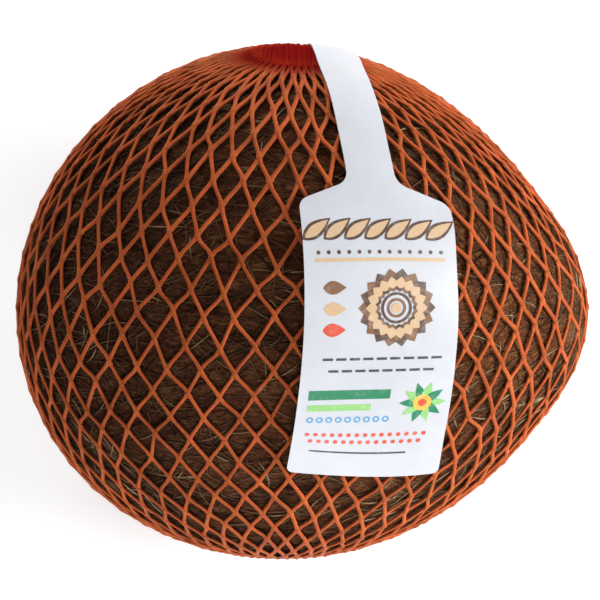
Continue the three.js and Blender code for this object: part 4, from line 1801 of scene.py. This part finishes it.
@dataclass
class TagPrint:
    """The pattern printed on the tag's panel: plain shapes in a few inks, laid on as thin films.

    Its places are in millimetres: u across the tag, v down from the start of the shoulders.
    """

    tag: HangTag
    height: float = 0.03
    layer_step: float = 0.0015
    bar_step: float = 0.6
    disc_sides: int = 28
    blade_stations: int = 14
    petals: int = 18
    drafts: dict[Ink, MeshDraft] = field(default_factory=dict)

    def _strip(self, ink: Ink, left: np.ndarray, right: np.ndarray, layer: int = 0,
               wrap: bool = False) -> None:
        """Lay ink between two lines of (u, v) points.

        Args:
            ink: The ink.
            left: One edge, shaped (stations, 2).
            right: The other edge.
            layer: How many coats of ink are under it.
            wrap: True if the lines close on themselves.
        """
        share = np.linspace(0.0, 1.0, 3)[:, None, None]
        flat = lerp(left[None], right[None], share)
        height = self.tag.thickness + self.height + self.layer_step * layer
        points = self.tag.at(flat[..., 0], flat[..., 1], height)
        self.drafts.setdefault(ink, MeshDraft(self.tag.form)).grid(points, wrap=wrap)

    def _bar(self, ink: Ink, u: float, v: float, width: float, height: float) -> None:
        """Lay a bar.

        Args:
            ink: The ink.
            u: Its left edge.
            v: Its upper edge.
            width: Its size across the tag.
            height: Its size along the tag.
        """
        run = np.linspace(u, u + width, max(2, int(width / self.bar_step)))
        top = np.stack([run, np.full_like(run, v)], axis=-1)
        self._strip(ink, top, top + (0.0, height))

    def _disc(self, ink: Ink, u: float, v: float, radius: float, hole: float = 0.0,
              layer: int = 0) -> None:
        """Lay a disc or a ring.

        Args:
            ink: The ink.
            u: Its middle across the tag.
            v: Its middle along the tag.
            radius: Its radius.
            hole: Its hole's radius, if it is a ring.
            layer: How many coats of ink are under it.
        """
        angle = FULL_TURN * np.arange(self.disc_sides) / self.disc_sides
        way = np.stack([np.cos(angle), np.sin(angle)], axis=-1)
        centre = np.array([u, v])
        self._strip(ink, centre + way * max(hole, 0.02), centre + way * radius, layer, wrap=True)

    def _blade(self, ink: Ink, start: tuple[float, float], heading: float, length: float,
               width: float, layer: int = 0) -> None:
        """Lay a leaf blade.

        Args:
            ink: The ink.
            start: Its foot.
            heading: Its direction in degrees, from +u towards +v.
            length: Its length.
            width: Its greatest width.
            layer: How many coats of ink are under it.
        """
        share = np.linspace(0.0, 1.0, self.blade_stations)
        angle = np.radians(np.full(share.shape, heading))
        way = np.stack([np.cos(angle), np.sin(angle)], axis=-1)
        step = way * (length / (self.blade_stations - 1.0))
        spine = np.array(start) + np.concatenate([[[0.0, 0.0]], np.cumsum(step[:-1], axis=0)])
        side = np.stack([-np.sin(angle), np.cos(angle)], axis=-1)
        half = (0.5 * width * np.sin(np.pi * share**0.8) + 0.02)[:, None]
        self._strip(ink, spine - side * half, spine + side * half, layer)

    def _medallion(self, u: float, v: float, radius: float) -> None:
        """Lay a round figure: petals in two browns round a ringed middle.

        Args:
            u: Its middle across the tag.
            v: Its middle along the tag.
            radius: Its radius.
        """
        rounds = (((Ink.BARK, Ink.UMBER), 0.42, 1.0), ((Ink.SAND, Ink.SAND), 0.5, 0.8))
        for coat, (inks, inner, outer) in enumerate(rounds):
            length = (outer - inner) * radius
            for i in range(self.petals):
                heading = 360.0 * i / self.petals
                angle = math.radians(heading)
                away = inner * radius
                foot = (u + away * math.cos(angle), v + away * math.sin(angle))
                layer = coat * self.petals + i
                self._blade(inks[i % 2], foot, heading, length, 2.6 * length / 3.0, layer)
        top = len(rounds) * self.petals
        middle = ((Ink.BARK, 0.4, 0.33), (Ink.UMBER, 0.25, 0.18), (Ink.SAND, 0.13, 0.0))
        for ink, share, hole in middle:
            self._disc(ink, u, v, share * radius, hole * radius, top)

    def _leaf_band(self) -> None:
        """Lay the band of outlined leaves at the top, with dots and a bar under it."""
        left, leaves, dots = -13.2, 7, 13
        for i in range(leaves):
            u = left + 4.4 * i
            for coat, (ink, grow) in enumerate(((Ink.BARK, 1.0), (Ink.SAND, 0.62))):
                length = 7.6 * (0.55 + 0.45 * grow)
                start = (u - 0.5 * length * 0.82, 12.6 + 0.28 * length)
                self._blade(ink, start, -35.0, length, 3.3 * grow, 2 * i + coat)
        for i in range(dots):
            self._disc(Ink.BARK, left + 2.2 * i, 17.4, 0.42)
        self._bar(Ink.SAND, -14.0, 18.6, 28.0, 0.7)

    def _middle(self) -> None:
        """Lay the medallion and the lozenges beside it."""
        self._medallion(3.4, 29.0, 8.2)
        for ink, v in ((Ink.UMBER, 24.6), (Ink.SAND, 29.0), (Ink.EMBER, 33.4)):
            self._blade(ink, (-12.4, v), 0.0, 5.0, 2.8)

    def _rules(self) -> None:
        """Lay the dashed rules."""
        for row, v in enumerate((39.4, 42.0)):
            for i in range(9 - row):
                self._bar(Ink.SLATE, -12.0 + 1.4 * row + 2.9 * i, v, 2.2, 0.55)

    def _rosette(self, u: float, v: float) -> None:
        """Lay the rosette: ten leaves in two greens round a sun.

        Args:
            u: Its middle across the tag.
            v: Its middle along the tag.
        """
        leaves = 10
        for i in range(leaves):
            self._blade(Ink.LEAF if i % 2 else Ink.LIME, (u, v), 36.0 * i, 4.9, 1.9, i)
        self._disc(Ink.SUN, u, v, 1.9, layer=leaves)
        self._disc(Ink.EMBER, u, v, 0.9, layer=leaves + 1)

    def _lower(self) -> None:
        """Lay the rosette, the bars, the rings, the dots and the last rule."""
        self._rosette(10.4, 50.0)
        self._bar(Ink.LEAF, -14.2, 46.6, 17.6, 2.2)
        self._bar(Ink.LIME, -14.2, 50.0, 13.8, 1.5)
        for i in range(9):
            self._disc(Ink.SKY, -13.3 + 2.05 * i, 53.7, 0.75, 0.4)
        for row in range(2):
            for i in range(15 - row):
                self._disc(Ink.EMBER, -13.4 + 0.9 * row + 1.8 * i, 57.6 + 1.8 * row, 0.5)
        self._bar(Ink.SLATE, -12.4, 62.0, 21.0, 0.45)

    def build(self) -> list[bpy.types.Object]:
        """Lay the whole pattern.

        Returns:
            One piece for each ink.
        """
        self._leaf_band()
        self._middle()
        self._rules()
        self._lower()
        return [draft.build("print_" + ink.name.lower(), ink) for ink, draft in self.drafts.items()]


# ---- studio ----


@dataclass(frozen=True)
class Lamp:
    """One soft square lamp: its place and size in metres, and its power in watts."""

    name: str
    place: Point
    size: float
    power: float


@dataclass(frozen=True)
class Studio:
    """The pale floor, the soft lamps and the camera.

    Places and sizes are in metres, the elevation in degrees and the sensor's width in millimetres.
    """

    aim: Point = (-0.0009, -0.0040, 0.0605)
    elevation: float = 75.0
    distance: float = 0.40
    frame_width: float = 0.147
    sensor: float = 36.0
    nearest: float = 0.01
    floor_size: float = 6.0
    floor_level: float = -0.0002
    lamps: tuple[Lamp, ...] = (
        Lamp("key", (0.77, -0.08, 0.37), 0.40, 8.7),
        Lamp("front", (0.04, -0.75, 0.37), 0.45, 4.0),
        Lamp("back", (-0.16, 0.75, 0.34), 0.45, 5.0),
    )
    sky: Colour = (0.95, 0.96, 1.0)
    sky_strength: float = 0.31

    def floor(self) -> None:
        """Make the floor."""
        place = (0.0, 0.0, self.floor_level)
        bpy.ops.mesh.primitive_plane_add(size=self.floor_size, location=place)
        plane = bpy.context.object
        plane.name = "floor"
        plane.data.materials.append(PaperFinish().make())

    def light(self, lamp: Lamp) -> None:
        """Add a lamp that faces the object.

        Args:
            lamp: The lamp.
        """
        data = bpy.data.lights.new(lamp.name, "AREA")
        data.energy = lamp.power
        data.size = lamp.size
        made = bpy.data.objects.new(lamp.name, data)
        made.location = lamp.place
        towards = Vector(self.aim) - Vector(lamp.place)
        made.rotation_euler = towards.to_track_quat("-Z", "Y").to_euler()
        bpy.context.scene.collection.objects.link(made)

    def camera(self) -> None:
        """Add the camera at its viewing angle."""
        angle = math.radians(self.elevation)
        away = Vector((0.0, -math.cos(angle), math.sin(angle)))
        data = bpy.data.cameras.new("camera")
        data.sensor_width = self.sensor
        data.lens = self.sensor * self.distance / self.frame_width
        data.clip_start = self.nearest
        camera = bpy.data.objects.new("camera", data)
        camera.location = Vector(self.aim) + self.distance * away
        camera.rotation_euler = (-away).to_track_quat("-Z", "Y").to_euler()
        bpy.context.scene.collection.objects.link(camera)
        bpy.context.scene.camera = camera

    def surroundings(self) -> None:
        """Set up the light from all round and plain colours."""
        world = bpy.data.worlds.new("studio")
        world.use_nodes = True
        background = world.node_tree.nodes["Background"]
        background.inputs["Color"].default_value = (*self.sky, 1.0)
        background.inputs["Strength"].default_value = self.sky_strength
        bpy.context.scene.world = world
        bpy.context.scene.view_settings.view_transform = "Standard"

    def build(self) -> None:
        """Set up the whole studio."""
        self.camera()
        self.floor()
        for lamp in self.lamps:
            self.light(lamp)
        self.surroundings()


def hand_over(pieces: Sequence[bpy.types.Object], slot: str, *nodes: str) -> None:
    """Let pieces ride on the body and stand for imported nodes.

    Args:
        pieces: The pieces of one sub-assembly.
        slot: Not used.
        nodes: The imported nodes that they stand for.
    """
    for piece in pieces:
        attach(piece, BODY)
        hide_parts(*nodes)
        log.info("%s: %d faces", piece.name, len(piece.data.polygons))


def main() -> None:
    """Build every sub-assembly in order."""
    logging.basicConfig(level=logging.INFO, format="%(name)s: %(message)s")
    form = NutForm()
    Studio().build()
    hand_over(Husk(form).build(), "husk", "coconut")
    top = Gather(form, turn=54.0, bend=1, x=3.0, clip_x=3.2, rise_from=32.0, clip_from=45.0,
                 neck_rise=12.0)
    bottom = Gather(form, turn=-114.0, bend=-1, x=-1.0, clip_x=-1.0, rise_from=8.0, clip_from=18.0)
    hand_over(CarryNet(form, top, bottom).build(), "net", "net")
    hand_over(Clip(top, "clip_top", extra=0.6).build(), "clip", "clip_top")
    hand_over(Clip(bottom, "clip_bottom").build(), "clip", "clip_bottom")
    hand_over(HangTag(form, top).build(), "tag_film", "tag")


if __name__ == "__main__":
    main()
